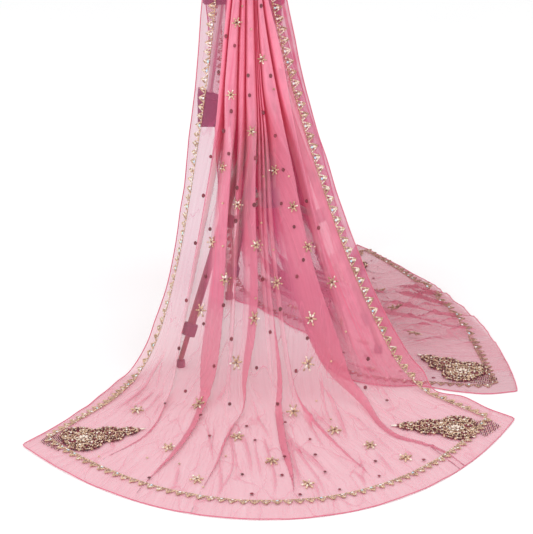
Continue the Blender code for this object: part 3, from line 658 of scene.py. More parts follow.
def net_object(sheet, look):
    """The net itself, as one thin open shell."""
    points = sheet["points"]
    rows, columns = points.shape[:2]
    index = np.arange(rows * columns).reshape(rows, columns)
    corners = index[:-1, :-1], index[:-1, 1:], index[1:, 1:], index[1:, :-1]
    faces = np.stack([part.ravel() for part in corners], axis=1)
    item = new_object(f"net_{sheet['name']}", points.reshape(-1, 3), faces, [look])
    for key in ("steep", "crease", "deep", "pile", "bunched", "hung"):
        point_values(item, key, sheet[key])
    u = np.broadcast_to(sheet["u"][None, :], points.shape[:2])
    uv = np.stack([u, sheet["v"]], axis=2).reshape(-1, 2)
    layer = item.data.uv_layers.new(name="cloth")
    used = np.zeros(len(item.data.loops), np.int32)
    item.data.loops.foreach_get("vertex_index", used)
    layer.data.foreach_set("uv", uv[used].astype(np.float32).ravel())
    return item


def tube_mesh(path, radius, sides=6):
    """The vertices and faces of a tube along a path."""
    path = np.asarray(path, float)
    tangents = unit(np.gradient(path, axis=0))
    up = np.tile([0.0, 0.0, 1.0], (len(path), 1))
    up[np.abs(tangents[:, 2]) > 0.8] = (0.0, 1.0, 0.0)
    side = unit(np.cross(tangents, up))
    over = np.cross(side, tangents)
    turns = np.linspace(0, 2 * math.pi, sides, endpoint=False)
    radius = np.broadcast_to(np.asarray(radius, float), (len(path),))[:, None, None]
    ring = side[:, None] * np.cos(turns)[None, :, None] + over[:, None] * np.sin(turns)[None, :, None]
    vertices = (path[:, None] + ring * radius).reshape(-1, 3)
    index = np.arange(len(path) * sides).reshape(len(path), sides)
    a, b = index[:-1], index[1:]
    faces = np.stack([a, np.roll(a, -1, 1), np.roll(b, -1, 1), b], axis=2).reshape(-1, 4)
    return vertices, faces


def smooth_path(path, passes=2):
    """A path with its small steps evened out, its ends kept."""
    path = np.array(path, float)
    for _ in range(passes):
        path[1:-1] = (path[:-2] + 2 * path[1:-1] + path[2:]) / 4
    return path


def edge_object(sheet, look):
    """The rolled edge of one half: selvedge, hem and selvedge."""
    points = sheet["points"]
    path = np.concatenate([points[:0:-1, 0], points[0], points[1:, -1]])
    path[:, 2] = np.maximum(path[:, 2], 0.0009)
    vertices, faces = tube_mesh(smooth_path(path), 0.0008)
    return new_object(f"rolled_edge_{sheet['name']}", vertices, faces, [look])


# -------------------------------------------------------------------- beads

def icosphere():
    """A small round template of radius one."""
    t = (1 + 5**0.5) / 2
    v = np.array([
        (-1, t, 0), (1, t, 0), (-1, -t, 0), (1, -t, 0), (0, -1, t), (0, 1, t),
        (0, -1, -t), (0, 1, -t), (t, 0, -1), (t, 0, 1), (-t, 0, -1), (-t, 0, 1),
    ], float)
    f = np.array([
        (0, 11, 5), (0, 5, 1), (0, 1, 7), (0, 7, 10), (0, 10, 11), (1, 5, 9), (5, 11, 4),
        (11, 10, 2), (10, 7, 6), (7, 1, 8), (3, 9, 4), (3, 4, 2), (3, 2, 6), (3, 6, 8),
        (3, 8, 9), (4, 9, 5), (2, 4, 11), (6, 2, 10), (8, 6, 7), (9, 8, 1),
    ])
    return unit(v), f


def lathe(profile, sides, waist=0.0):
    """A template turned about z from rows of (radius, height), closed at both ends."""
    turns = np.linspace(0, 2 * math.pi, sides, endpoint=False)
    v = [(0, 0, profile[0][1])]
    for radius, height in profile:
        v += [(radius * math.cos(t), radius * math.sin(t) * (1 - waist), height) for t in turns]
    v.append((0, 0, profile[-1][1]))
    f = []
    for s in range(sides):
        n = (s + 1) % sides
        f.append((0, 1 + n, 1 + s))
        for r in range(len(profile) - 1):
            a, b = 1 + r * sides, 1 + (r + 1) * sides
            f += [(a + s, a + n, b + n), (a + s, b + n, b + s)]
        top = 1 + (len(profile) - 1) * sides
        f.append((top + s, top + n, len(v) - 1))
    return np.array(v, float), np.array(f)


def leaf_template():
    """A pointed leaf or petal, longest along x."""
    rows = ((-1, 0.05), (-0.55, 0.75), (0.1, 1.0), (0.62, 0.62), (1, 0.05))
    v, f = [], []
    for x, wide in rows:
        v += [(x, -wide, 0), (x, 0, 0.9 * wide), (x, wide, 0), (x, 0, -0.35 * wide)]
    for r in range(len(rows) - 1):
        for k in range(4):
            a, b = r * 4 + k, r * 4 + (k + 1) % 4
            f += [(a, a + 4, b + 4), (a, b + 4, b)]
    f += [(0, 1, 2), (0, 2, 3), (16, 18, 17), (16, 19, 18)]
    return np.array(v, float), np.array(f)


TEMPLATES = {
    "bead": icosphere(),
    "sequin": lathe(((0.85, -0.25), (1.0, 0.1), (0.62, 0.42), (0.22, 0.12)), 9),
    "petal": leaf_template(),
}
KINDS = ("gold", "cream", "maroon", "plum", "pearl")


class Beads:
    """A growing list of beads that ends as one mesh."""

    def __init__(self):
        self.rows = {key: [] for key in TEMPLATES}

    def add(self, shape, kind, centre, along, normal, size):
        """Add one bead: its axes are along, across and out from the cloth."""
        normal = np.asarray(normal, float)
        along = np.asarray(along, float)
        along = along - normal * along.dot(normal)
        along /= max(np.linalg.norm(along), 1e-9)
        across = np.cross(normal, along)
        axes = np.array([along * size[0], across * size[1], normal * size[2]]) / 2
        self.rows[shape].append((np.asarray(centre, float), axes, KINDS.index(kind), dice.random()))

    def build(self, name, looks):
        """Join the beads in one object."""
        vertices, faces, kinds, tones, offset = [], [], [], [], 0
        for shape, rows in self.rows.items():
            if not rows:
                continue
            template, pattern = TEMPLATES[shape]
            centres = np.array([r[0] for r in rows])
            axes = np.array([r[1] for r in rows])
            points = centres[:, None] + np.einsum("ki,nij->nkj", template, axes)
            points[:, :, 2] = np.maximum(points[:, :, 2], 0.0002)
            count = len(template)
            vertices.append(points.reshape(-1, 3))
            shifts = offset + np.arange(len(rows)) * count
            faces.append((pattern[None] + shifts[:, None, None]).reshape(-1, 3))
            kinds.append(np.repeat([r[2] for r in rows], len(pattern)))
            tones.append(np.repeat([r[3] for r in rows], count))
            offset += len(rows) * count
        item = new_object(name, np.concatenate(vertices), np.concatenate(faces), looks)
        item.data.polygons.foreach_set("material_index", np.concatenate(kinds).astype(np.int32))
        point_values(item, "tone", np.concatenate(tones))
        return item


def sample(sheet, u, row):
    """Point, normal and the two directions of the cloth at a place and a row."""
    columns = sheet["u"]
    j = float(np.interp(u, columns, np.arange(len(columns))))
    last_row, last_column = sheet["points"].shape[0] - 1, len(columns) - 1
    i0, j0 = min(int(row), last_row - 1), min(int(j), last_column - 1)
    s, t = row - i0, j - j0

    def mix(grid):
        return (
            (grid[i0, j0] * (1 - t) + grid[i0, j0 + 1] * t) * (1 - s)
            + (grid[i0 + 1, j0] * (1 - t) + grid[i0 + 1, j0 + 1] * t) * s
        )

    p = sheet["points"]
    side = p[i0, j0 + 1] - p[i0, j0]
    along = p[i0 + 1, j0] - p[i0, j0]
    normal = mix(sheet["normals"])
    return mix(p), normal / max(np.linalg.norm(normal), 1e-9), side, along


def row_at(sheet, u, v):
    """The row, as a fraction, at a distance from the hem along the cloth."""
    j = int(round(float(np.interp(u, sheet["u"], np.arange(len(sheet["u"]))))))
    lengths = sheet["v"][:, j]
    return float(np.interp(v, lengths, np.arange(len(lengths))))


def on_cloth(sheet, u, v):
    """Point, normal and directions at a distance across and along the cloth."""
    return sample(sheet, u, row_at(sheet, u, v))


def put(beads, sheet, shape, kind, u, v, angle, size, lift):
    """Place a bead on the cloth, turned from the direction across it."""
    point, normal, side, along = on_cloth(sheet, u, v)
    side, along = unit(side), unit(along)
    direction = side * math.cos(angle) + along * math.sin(angle)
    beads.add(shape, kind, point + normal * lift, direction, normal, size)


def tooth(beads, base, outward, run, normal, pitch, pale):
    """One tooth of the border: a triangle of beads, filled with a petal and a sequin."""
    half, tall = 0.40 * pitch, 0.70 * pitch * dice.uniform(0.92, 1.06)
    tip = dice.uniform(-0.0006, 0.0006)
    for side in (-1, 1):
        for step in range(4):
            share, ahead = (step + 0.35) / 4, (step + 0.75) / 4
            x, y = side * half * (1 - share**1.4) + tip * share, tall * share
            slope = side * half * (share**1.4 - ahead**1.4)
            direction = run * slope + outward * tall * (ahead - share)
            kind = "cream" if dice.random() < pale * 0.4 else "gold"
            beads.add("bead", kind, base + run * x + outward * y, direction, normal,
                      (0.27 * pitch, 0.0028, 0.0025))
    beads.add("bead", "gold", base + outward * tall, outward, normal, (0.0034, 0.0026, 0.0024))
    kind = "cream" if dice.random() < pale else "gold"
    beads.add("petal", kind, base + outward * tall * 0.56, outward, normal,
              (0.45 * pitch, 0.34 * pitch, 0.0018))
    kind = "pearl" if dice.random() < 0.5 else "gold"
    beads.add("sequin", kind, base + outward * tall * 0.20 + normal * 0.0007, run, normal,
              (0.0042, 0.0040, 0.0017))


def row_of_line(sheet, line):
    """The row, as a fraction, at a line of a sheet."""
    step = 1 if sheet["name"] == "front" else -1
    rows = np.arange(len(sheet["lines"]))
    return float(np.interp(line, sheet["lines"][::step], rows[::step]))


def border_line(sheet, which):
    """Points, normals and outward directions along one side of the border."""
    hem_row = row_of_line(sheet, HEM_TEETH_LINE[sheet["name"]])
    if which == "hem":
        places = np.linspace(BAND[1], CLOTH_WIDTH - BAND[1], 260)
        found = [sample(sheet, u, hem_row) for u in places]
        return [(p, n, -along) for p, n, side, along in found]
    u, sign = (BAND[1], -1) if which == "left" else (CLOTH_WIDTH - BAND[1], 1)
    rows = np.linspace(hem_row, len(sheet["lines"]) - 1, 320)
    found = [sample(sheet, u, row) for row in rows]
    return [(p, n, side * sign) for p, n, side, along in found]


def border_object(sheet, looks):
    """The border of one half: a beaded line with teeth that point outwards."""
    beads = Beads()
    lift = BORDER_LIFT[sheet["name"]]
    for which in ("left", "hem", "right"):
        line = border_line(sheet, which)
        points = smooth_path([row[0] for row in line], 3)
        normals = unit(smooth_path([row[1] for row in line], 4))
        outs = unit(smooth_path([unit(row[2]) for row in line], 4))
        arc = np.concatenate([[0], np.cumsum(np.linalg.norm(np.diff(points, axis=0), axis=1))])
        count = int(arc[-1] / TOOTH_PITCH[which])
        pitch = arc[-1] / count
        tangents = unit(np.gradient(points, axis=0))

        def at(distance):
            return [np.array([np.interp(distance, arc, grid[:, k]) for k in range(3)])
                    for grid in (points, normals, outs, tangents)]

        for number in range(count):
            point, normal, outward, run = at((number + 0.5) * pitch)
            outward = unit(outward - run * outward.dot(run))
            pale = 0.2 + 0.8 * float(smoothstep(point[2], 0.02, 0.15))
            tooth(beads, point + normal * lift, outward, run, normal, pitch, pale)
        cord = int(arc[-1] / 0.0031)
        for number in range(cord):
            point, normal, outward, run = at((number + 0.5) * arc[-1] / cord)
            kind = "cream" if number % 7 == 0 else "gold"
            wobble = outward * 0.0003 * math.sin(number * 2.1)
            beads.add("bead", kind, point + normal * lift + wobble, run, normal, (0.0035, 0.0021, 0.0019))
    return beads.build(f"border_beads_{sheet['name']}", looks)


def near_motif(point):
    """Whether a place on the cloth is taken by a corner motif."""
    if point[2] > 0.05:
        return False
    for _, tip, root, corner in MOTIFS.values():
        tip, root, corner = (np.array(p) for p in (tip, root, corner))
        for start, end, reach in ((tip, root, 0.043), (root, corner, 0.036)):
            axis = end - start
            share = np.clip((point[:2] - start).dot(axis) / axis.dot(axis), 0, 1)
            if np.linalg.norm(point[:2] - start - axis * share) < reach:
                return True
    return False


def flower(lay, scale, stretch):
    """A star of six petals, each a long bead and a small one; stretch lengthens it along the cloth."""
    turn = dice.uniform(-0.3, 0.3)
    for number in range(6):
        angle = turn + number * math.pi / 3
        for reach, size in ((0.0042, (0.0064, 0.0040, 0.0028)), (0.0086, (0.0046, 0.0034, 0.0026))):
            kind = "cream" if dice.random() < 0.24 else "gold"
            reach *= scale * dice.uniform(0.92, 1.06)
            x, y = reach * math.cos(angle), reach * math.sin(angle) * stretch
            longer = 1 + (stretch - 1) * abs(math.sin(angle))
            lay("bead", kind, x, y, math.atan2(y, x),
                (size[0] * scale * longer, size[1] * scale, size[2] * scale * stretch))
    lay("bead", "maroon", 0, 0, 0, (0.0030, 0.0030, 0.0030))


def sequin(lay):
    """A dark sequin, or now and then a small gold bead."""
    if dice.random() < 0.22:
        lay("bead", "gold", 0, 0, 0, (0.0042, 0.0037, 0.0028))
    else:
        wide = dice.uniform(0.0046, 0.0058)
        kind = "plum" if dice.random() < 0.08 else "maroon"
        lay("sequin", kind, 0, 0, math.pi / 2, (wide * 1.25, wide, 0.0030))


def outer_place(sheet, line, share):
    """The outermost cloth at a line and a share across: point, across, along, out and row."""
    row = int(np.abs(sheet["lines"] - line).argmin())
    left, _, right = guides(line)
    across = unit(right - left)
    out = surface_normals(np.array([0.5]), line)[0]
    points = sheet["points"][row]
    apart = np.abs((points - left) @ across - share * np.linalg.norm(right - left))
    near = apart < max(PROBE, apart.min() + 1e-6)
    best = np.where(near, points @ out, -9.0).argmax()
    return points[best], across, np.cross(out, across), out, row


def front_layer(beads, sheet, place, lift):
    """A function that lays beads around a place on the outermost cloth."""
    point, across, along, out, row = place
    block = sheet["points"][max(row - 3, 0):row + 4].reshape(-1, 3) - point

    def lay(shape, kind, x, y, angle, size):
        offset = across * x + along * y
        height = (block - offset) @ out
        apart = np.linalg.norm(block - offset - height[:, None] * out, axis=1)
        near = apart < PROBE
        top = height[near].max() if near.any() else height[apart.argmin()]
        direction = across * math.cos(angle) + along * math.sin(angle)
        beads.add(shape, kind, point + offset + out * (top + lift), direction, out, size)

    return lay


def staggered(sheet, first, spacing):
    """Places in staggered rows up the front half: line, distance across, gap and gaps from the left."""
    lengths = sheet["v"][:, len(sheet["u"]) // 2]
    v, number = first, 0
    while v < lengths[-1] - 0.02:
        line = float(np.interp(v, lengths, sheet["lines"]))
        rise, gap = spacing(line)
        left, _, right = guides(line)
        chord = float(np.linalg.norm(right - left))
        for k in range(int(chord / gap) + 1):
            yield line, chord, gap, k + 0.5 * (number % 2)
        v += rise
        number += 1


def flower_spacing(line):
    """The distance between rows and between flowers of the front half at a line."""
    gathered = float(smoothstep(line, 3.0, 4.8))
    return [first + (last - first) * gathered for first, last in zip(OPEN_FLOWERS, GATHERED_FLOWERS)]


def sequin_spacing(line):
    """The distance between rows and between sequins of the front half at a line."""
    gap = 0.070 - 0.030 * float(smoothstep(line, 3.0, 5.5))
    return gap * 0.86, gap


def scatter_front(beads, sheet, lift):
    """Staggered rows of flowers, and sequins between them, on the outermost cloth."""
    flowers = []
    for line, chord, gap, steps in staggered(sheet, FIRST_FLOWERS, flower_spacing):
        share = (steps + 0.30) * gap / chord
        place = outer_place(sheet, line, share)
        if FLOWER_MARGIN < share * chord < chord - FLOWER_MARGIN and not near_motif(place[0]):
            flowers.append(place[0])
            risen = float(smoothstep(line, 3.0, 6.0))
            flower(front_layer(beads, sheet, place, lift), 1.0 - 0.22 * risen, 1.45 - 0.40 * risen)
    for line, chord, gap, steps in staggered(sheet, FIRST_SEQUINS, sequin_spacing):
        share = (steps + dice.uniform(-0.18, 0.18)) * gap / chord
        if not SEQUIN_MARGIN < share * chord < chord - SEQUIN_MARGIN:
            continue
        place = outer_place(sheet, line + dice.uniform(-0.06, 0.06), share)
        clear = min(np.linalg.norm(place[0] - other) for other in flowers) > SEQUIN_RING
        if clear and not near_motif(place[0]):
            sequin(front_layer(beads, sheet, place, lift))


def scatter_back(beads, sheet, lift):
    """Flowers and sequins in even rows on the back half."""
    limit = float(sheet["v"][-1].mean()) - 0.02
    inside = (BAND[1] + 0.016, CLOTH_WIDTH - BAND[1] - 0.016)

    def layer(u, v):
        return lambda shape, kind, x, y, angle, size: put(
            beads, sheet, shape, kind, u + x, v + y, angle, size, lift)

    for v, first, step in (row for row in BACK_FLOWERS if row[0] < limit):
        places = [first + step * k for k in range(int((inside[1] - first) / step) + 1)]
        dots = [(u + step / 2, v) for u in [first - step] + places]
        dots += [(u + step * k / 4, v + 0.052) for u in [first - step] + places for k in (-1, 1)]
        for u, along, is_flower in [(u, v, True) for u in places] + [(*dot, False) for dot in dots]:
            u, along = u + dice.uniform(-0.006, 0.006), along + dice.uniform(-0.006, 0.006)
            if not inside[0] < u < inside[1] or near_motif(on_cloth(sheet, u, along)[0]):
                continue
            if is_flower:
                flower(layer(u, along), 1.0, 1.3)
            else:
                sequin(layer(u, along))


def scatter_object(sheet, looks):
    """The flowers of one half, with sequins and small beads between them."""
    beads = Beads()
    scatter = scatter_front if sheet["name"] == "front" else scatter_back
    scatter(beads, sheet, SCATTER_LIFT[sheet["name"]])
    return beads.build(f"scatter_beads_{sheet['name']}", looks)


def half_wide(share):
    """The half width of a corner motif, at a share of its length from the tip."""
    soft = 0
    for centre, reach, wide, power in MOTIF_LOBES:
        q = min(abs(share - centre) / reach, 1.0)
        soft += (wide * (1 - q**power) ** 0.55) ** 5
    return soft**0.2 * MOTIF_WIDTH / 2


def motif_outline(inset, side):
    """Places along one side of a motif, measured from its tip."""
    shares = np.linspace(0.02, 0.998, 500)
    wides = np.array([max(half_wide(share) - inset, 0.0) for share in shares])
    s, t = shares * MOTIF_LENGTH, wides * side
    arc = np.concatenate([[0], np.cumsum(np.hypot(np.diff(s), np.diff(t)))])
    return arc, s, t


def motif_object(name, looks):
    """A leaf-shaped corner motif: corded outline, rosettes, leaves and beads."""
    _, tip, root, corner = MOTIFS[name]
    beads = Beads()
    tip, root, corner = (np.array((*p, 0.0)) for p in (tip, root, corner))
    along = unit(root - tip)
    across = np.array([-along[1], along[0], 0.0])
    up = np.array([0.0, 0.0, 1.0])

    def lay(shape, kind, s, t, angle, size, z=0.0):
        direction = along * math.cos(angle) + across * math.sin(angle)
        beads.add(shape, kind, tip + along * s + across * t + up * (MOTIF_LIFT + z), direction, up, size)

    def ring(s, t, radius, kinds, size, z):
        count = max(int(2 * math.pi * radius / (size[0] * 0.92)), 5)
        for number in range(count):
            angle = 2 * math.pi * number / count
            lay("bead", kinds[number % len(kinds)], s + math.cos(angle) * radius,
                t + math.sin(angle) * radius, angle + math.pi / 2, size, z)

    lay("petal", "cream", 0.001, 0, 0, (0.014, 0.0056, 0.0034))
    lay("petal", "gold", 0.009, 0.0028, 0.45, (0.012, 0.0042, 0.0030))
    lay("petal", "gold", 0.009, -0.0028, -0.45, (0.012, 0.0042, 0.0030))
    for inset, spacing, kinds, size, z in MOTIF_CORDS:
        for side in (-1, 1):
            arc, s, t = motif_outline(inset, side)
            for number in range(int(arc[-1] / spacing)):
                d = (number + 0.5) * spacing
                s0, t0 = np.interp(d, arc, s), np.interp(d, arc, t)
                s1, t1 = np.interp(d + 0.001, arc, s), np.interp(d + 0.001, arc, t)
                if abs(t0) > 0.0012:
                    lay("bead", kinds[number % len(kinds)], s0, t0, math.atan2(t1 - t0, s1 - s0), size,
                        z + dice.uniform(0, 0.0005))
    for share, t, radius, kind in ROSETTES:
        s = share * MOTIF_LENGTH
        petals = 5 if radius < LARGE_ROSETTE else 8
        for number in range(petals):
            angle = number * 2 * math.pi / petals + share * 9
            lay("petal", kind, s + math.cos(angle) * radius * 0.52, t + math.sin(angle) * radius * 0.52,
                angle, (radius * 0.85, radius * 0.55, 0.0036), 0.0010)
        ring(s, t, radius, ("gold", "gold", "cream", "gold"), (0.0032, 0.0024, 0.0028), 0.0012)
        if radius > LARGE_ROSETTE:
            ring(s, t, radius * 0.60, ("gold", "maroon"), (0.0028, 0.0022, 0.0024), 0.0024)
            ring(s, t, radius + 0.0032, ("maroon", "plum", "gold"), (0.0034, 0.0026, 0.0024), 0.0006)
        lay("bead", "cream", s, t, 0, (0.0040, 0.0040, 0.0036), 0.0026)
    for share, t, angle in MOTIF_LEAVES:
        s = share * MOTIF_LENGTH
        lay("petal", "gold", s, t, angle, (0.0120, 0.0050, 0.0034), 0.0010)
        lay("petal", "maroon", s, t, angle, (0.0078, 0.0020, 0.0040), 0.0014)
    for shape, spacing, inset, sizes, kinds, z in MOTIF_FILLS:
        spots = []
        for _ in range(FILL_TRIES):
            share = dice.uniform(0.06, 0.99)
            s, t = share * MOTIF_LENGTH, dice.uniform(-1, 1) * max(half_wide(share) - inset, 0)
            if all((s - a) ** 2 + (t - b) ** 2 > spacing**2 for a, b in spots):
                spots.append((s, t))
        for s, t in spots:
            kind = dice.choices(list(kinds), list(kinds.values()))[0]
            size = dice.uniform(*sizes)
            lay(shape, kind, s, t, dice.uniform(0, math.pi), (size * 1.2, size, size * 0.7),
                z + dice.uniform(-0.0003, 0.0004))
    bead_net(beads, root, corner, up)
    item = beads.build(f"beaded_{name}", looks)
    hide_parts(name)
    return item


def bead_net(beads, root, corner, up):
    """A lattice of tiny beads between a motif's blunt end and the corner of the border."""
    reach = float(np.linalg.norm(corner - root)) + 0.004
    outward = unit(corner - root)
    sideways = np.array([-outward[1], outward[0], 0.0])
    pitch = 0.0042
    for number in range(int(reach / (pitch * 0.5)) + 1):
        s = number * pitch * 0.5 - 0.004
        wide = 0.030 * (1 - 0.62 * max(s, 0) / reach)
        for k in range(-8, 9):
            t = (k + 0.5 * (number % 2)) * pitch
            if abs(t) > wide:
                continue
            kind = ("maroon", "gold", "maroon", "plum")[(k + 3 * number) % 4]
            beads.add("bead", kind, root + outward * s + sideways * t + up * 0.0020, sideways, up,
                      (0.0021, 0.0018, 0.0016))


# ---------------------------------------------------------------- materials

def shader_material(name, **inputs):
    """A new node material, its tree and its Principled shader, whose sockets are set by name."""
    look = bpy.data.materials.new(name)
    look.use_nodes = True
    shader = look.node_tree.nodes["Principled BSDF"]
    for key, value in inputs.items():
        shader.inputs[key.replace("_", " ")].default_value = value
    return look, look.node_tree, shader


def node(tree, kind, vector=None, **settings):
    """Add a node, set its inputs and properties by name and link its vector."""
    made = tree.nodes.new(kind)
    for key, value in settings.items():
        if key in made.inputs.keys():
            made.inputs[key].default_value = value
        else:
            setattr(made, key, value)
    if vector is not None:
        tree.links.new(vector, made.inputs["Vector"])
    return made


def on_object(tree, kind, **settings):
    """A texture over the object's own coordinates."""
    place = node(tree, "ShaderNodeTexCoord").outputs["Object"]
    return node(tree, kind, place, **settings).outputs["Fac"]


def math_node(tree, operation, first, second):
    """A Math node between two numbers or sockets."""
    made = node(tree, "ShaderNodeMath", operation=operation)
    for socket, value in zip(made.inputs, (first, second)):
        if isinstance(value, (int, float)):
            socket.default_value = value
        else:
            tree.links.new(value, socket)
    return made.outputs[0]


def attribute(tree, name):
    """The number stored at each vertex under a name."""
    return node(tree, "ShaderNodeAttribute", attribute_name=name).outputs["Fac"]


def mixed(tree, factor, first, second):
    """A colour mixed between two colours or sockets."""
    made = node(tree, "ShaderNodeMix", data_type="RGBA")
    tree.links.new(factor, made.inputs["Factor"])
    for socket, value in ((made.inputs[6], first), (made.inputs[7], second)):
        if isinstance(value, tuple):
            socket.default_value = (*value, 1.0)
        else:
            tree.links.new(value, socket)
    return made.outputs[2]


def ranged(tree, value, source, result, kind="LINEAR"):
    """A number moved from one range to another."""
    made = node(tree, "ShaderNodeMapRange", interpolation_type=kind)
    for key, setting in zip(("From Min", "From Max", "To Min", "To Max"), (*source, *result)):
        made.inputs[key].default_value = setting
    tree.links.new(value, made.inputs["Value"])
    return made.outputs[0]


def add_bump(tree, shader, height, strength, distance):
    """Give a shader bump from a height."""
    bump = node(tree, "ShaderNodeBump", Strength=strength, Distance=distance)
    tree.links.new(height, bump.inputs["Height"])
    tree.links.new(bump.outputs[0], shader.inputs["Normal"])


def net_material(name, light, piled, deep, thin, thick, hanging_shade):
    """Rose net: a fine mesh, denser in its folds and creases, clear between its threads, with painted shade
    in its grooves, fine pleats and hanging cloth, and a painted glow in its grooves.
    """
    # The emission is a painted glow in the grooves, for light passed on between the layers there
    look, tree, shader = shader_material(
        name, Roughness=0.62, Specular_IOR_Level=0.18, Sheen_Weight=0.25, Sheen_Roughness=0.45,
        Sheen_Tint=(1.0, 0.75, 0.80, 1.0), Emission_Strength=0.8)
    cloth = node(tree, "ShaderNodeUVMap", uv_map="cloth").outputs[0]

    def times(first, second):
        return math_node(tree, "MULTIPLY", first, second)

    def less(first, second):
        return math_node(tree, "SUBTRACT", first, second)

    def stretched(across, along):
        return node(tree, "ShaderNodeMapping", cloth, Scale=(across, along, 1.0)).outputs[0]

    def cloudy(place, scale, detail, **settings):
        return node(tree, "ShaderNodeTexNoise", place, noise_dimensions="2D", Scale=scale, Detail=detail,
                    **settings)

    def edges(place, scale, randomness):
        return node(tree, "ShaderNodeTexVoronoi", place, voronoi_dimensions="2D", Scale=scale,
                    feature="DISTANCE_TO_EDGE", Randomness=randomness).outputs["Distance"]

    crinkle = cloudy(stretched(130.0, 9.0), 1.0, 2.0, Roughness=0.6).outputs["Fac"]
    thread = ranged(tree, edges(cloth, 760.0, 0.25), (0.05, 0.40), (0.07, -0.05))
    patches = cloudy(cloth, 14.0, 1.0).outputs["Fac"]
    mottle = cloudy(cloth, 46.0, 2.0).outputs["Fac"]

    # Crumple lines of flat cloth: the edges of wandering cells
    spread = stretched(14.0, 5.5)
    bent = node(tree, "ShaderNodeVectorMath", operation="MULTIPLY_ADD")
    bent.inputs[1].default_value = (0.9, 0.9, 0.0)
    tree.links.new(cloudy(spread, 1.6, 1.0).outputs["Color"], bent.inputs[0])
    tree.links.new(spread, bent.inputs[2])
    crumple = ranged(tree, edges(bent.outputs[0], 1.0, 1.0), (0.0, 0.034), (1.0, 0.0), "SMOOTHSTEP")
    crumple = times(crumple, times(patches, 1.6))

    # Fine pleats of bunched cloth: the middle heights of long streaks
    pleats = cloudy(stretched(52.0, 1.8), 1.0, 1.0).outputs["Fac"]
    middle = math_node(tree, "ABSOLUTE", less(pleats, 0.5), 0.0)
    pleat = ranged(tree, middle, (0.0, 0.045), (1.0, 0.0), "SMOOTHSTEP")

    steep, crease, groove_shade_mask, pile, bunched, hung = (
        attribute(tree, key) for key in ("steep", "crease", "deep", "pile", "bunched", "hung"))
    flat = times(crumple, less(1.0, bunched))
    fine = times(pleat, bunched)

    # How much the net covers, from its parts in turn
    upright = math_node(tree, "ADD", times(hung, 0.75), 0.25)
    cover = times(times(steep, upright), thick - thin)
    for part in (
        thin, times(hung, 0.05), times(crease, 0.20), times(groove_shade_mask, 0.40), times(pile, 0.08),
        times(bunched, 0.30), times(flat, 0.12), times(fine, 0.22),
        times(times(less(mottle, 0.5), 0.34), bunched), times(less(crinkle, 0.5), 0.15), thread,
    ):
        cover = math_node(tree, "ADD", cover, part)
    cover = math_node(tree, "MINIMUM", math_node(tree, "MAXIMUM", cover, 0.12), 0.985)

    colour = mixed(tree, times(patches, 0.5), light, tuple(c * 0.93 for c in light))
    # Painted shade: the fine pleats and the deep grooves turn towards the deep crimson colour; the piled net
    # turns towards its own denser colour
    for share, towards in (
        # Painted shade: the hanging cloth, lit less than the cloth on the floor, turns towards a dark lilac
        # rose
        (times(hung, hanging_shade), (0.50, 0.085, 0.21)), (times(pile, 0.9), piled), (times(fine, 0.42), deep),
        (math_node(tree, "POWER", groove_shade_mask, 1.8), deep),
    ):
        colour = mixed(tree, share, colour, towards)
    # Painted glow: the deep grooves give off a faint crimson light
    painted_groove_glow = mixed(tree, groove_shade_mask, (0.0, 0.0, 0.0), (0.26, 0.010, 0.040))
    tree.links.new(painted_groove_glow, shader.inputs["Emission Color"])
    tree.links.new(colour, shader.inputs["Base Color"])
    raised = math_node(tree, "ADD", flat, less(crinkle, fine))
    add_bump(tree, shader, raised, 0.25, 0.0012)
    clear = node(tree, "ShaderNodeBsdfTransparent")
    blend = node(tree, "ShaderNodeMixShader")
    for source, socket in zip((cover, clear.outputs[0], shader.outputs[0]), blend.inputs):
        tree.links.new(source, socket)
    tree.links.new(blend.outputs[0], tree.nodes["Material Output"].inputs["Surface"])
    return look


def bead_material(name, dark, bright, metallic, roughness, coat=0.0):
    """Glass or metal beadwork whose tone changes from bead to bead."""
    look, tree, shader = shader_material(name, Metallic=metallic, Roughness=roughness, Coat_Weight=coat)
    grain = on_object(tree, "ShaderNodeTexNoise", Scale=900.0, Detail=2.0)
    tone = math_node(tree, "MULTIPLY", attribute(tree, "tone"), 0.8)
    share = math_node(tree, "ADD", math_node(tree, "MULTIPLY", grain, 0.35), tone)
    tree.links.new(mixed(tree, share, dark, bright), shader.inputs["Base Color"])
    add_bump(tree, shader, grain, 0.3, 0.0003)
    return look


def pearl_material():
    """The iridescent sequins: white with blue, green and pink lights."""
    look, tree, shader = shader_material("iridescent_sequin", Metallic=0.35, Roughness=0.14, Coat_Weight=0.6)
    ramp = node(tree, "ShaderNodeValToRGB")
    ramp.color_ramp.elements[0].color = (0.55, 0.72, 0.95, 1)
    ramp.color_ramp.elements[1].color = (0.95, 0.86, 0.78, 1)
    for place, colour in ((0.35, (0.62, 0.92, 0.86, 1)), (0.6, (0.93, 0.95, 0.97, 1))):
        ramp.color_ramp.elements.new(place).color = colour
    tree.links.new(attribute(tree, "tone"), ramp.inputs["Fac"])
    tree.links.new(ramp.outputs[0], shader.inputs["Base Color"])
    return look


def edge_material():
    """The rolled and stitched edge: denser, darker rose thread."""
    look, tree, shader = shader_material("rolled_rose_edge", Roughness=0.7, Sheen_Weight=0.3)
    twist = on_object(tree, "ShaderNodeTexWave", Scale=420.0, Distortion=2.0, bands_direction="DIAGONAL")
    tree.links.new(mixed(tree, twist, (0.62, 0.08, 0.16), (0.82, 0.20, 0.30)), shader.inputs["Base Color"])
    add_bump(tree, shader, twist, 0.5, 0.0004)
    return look


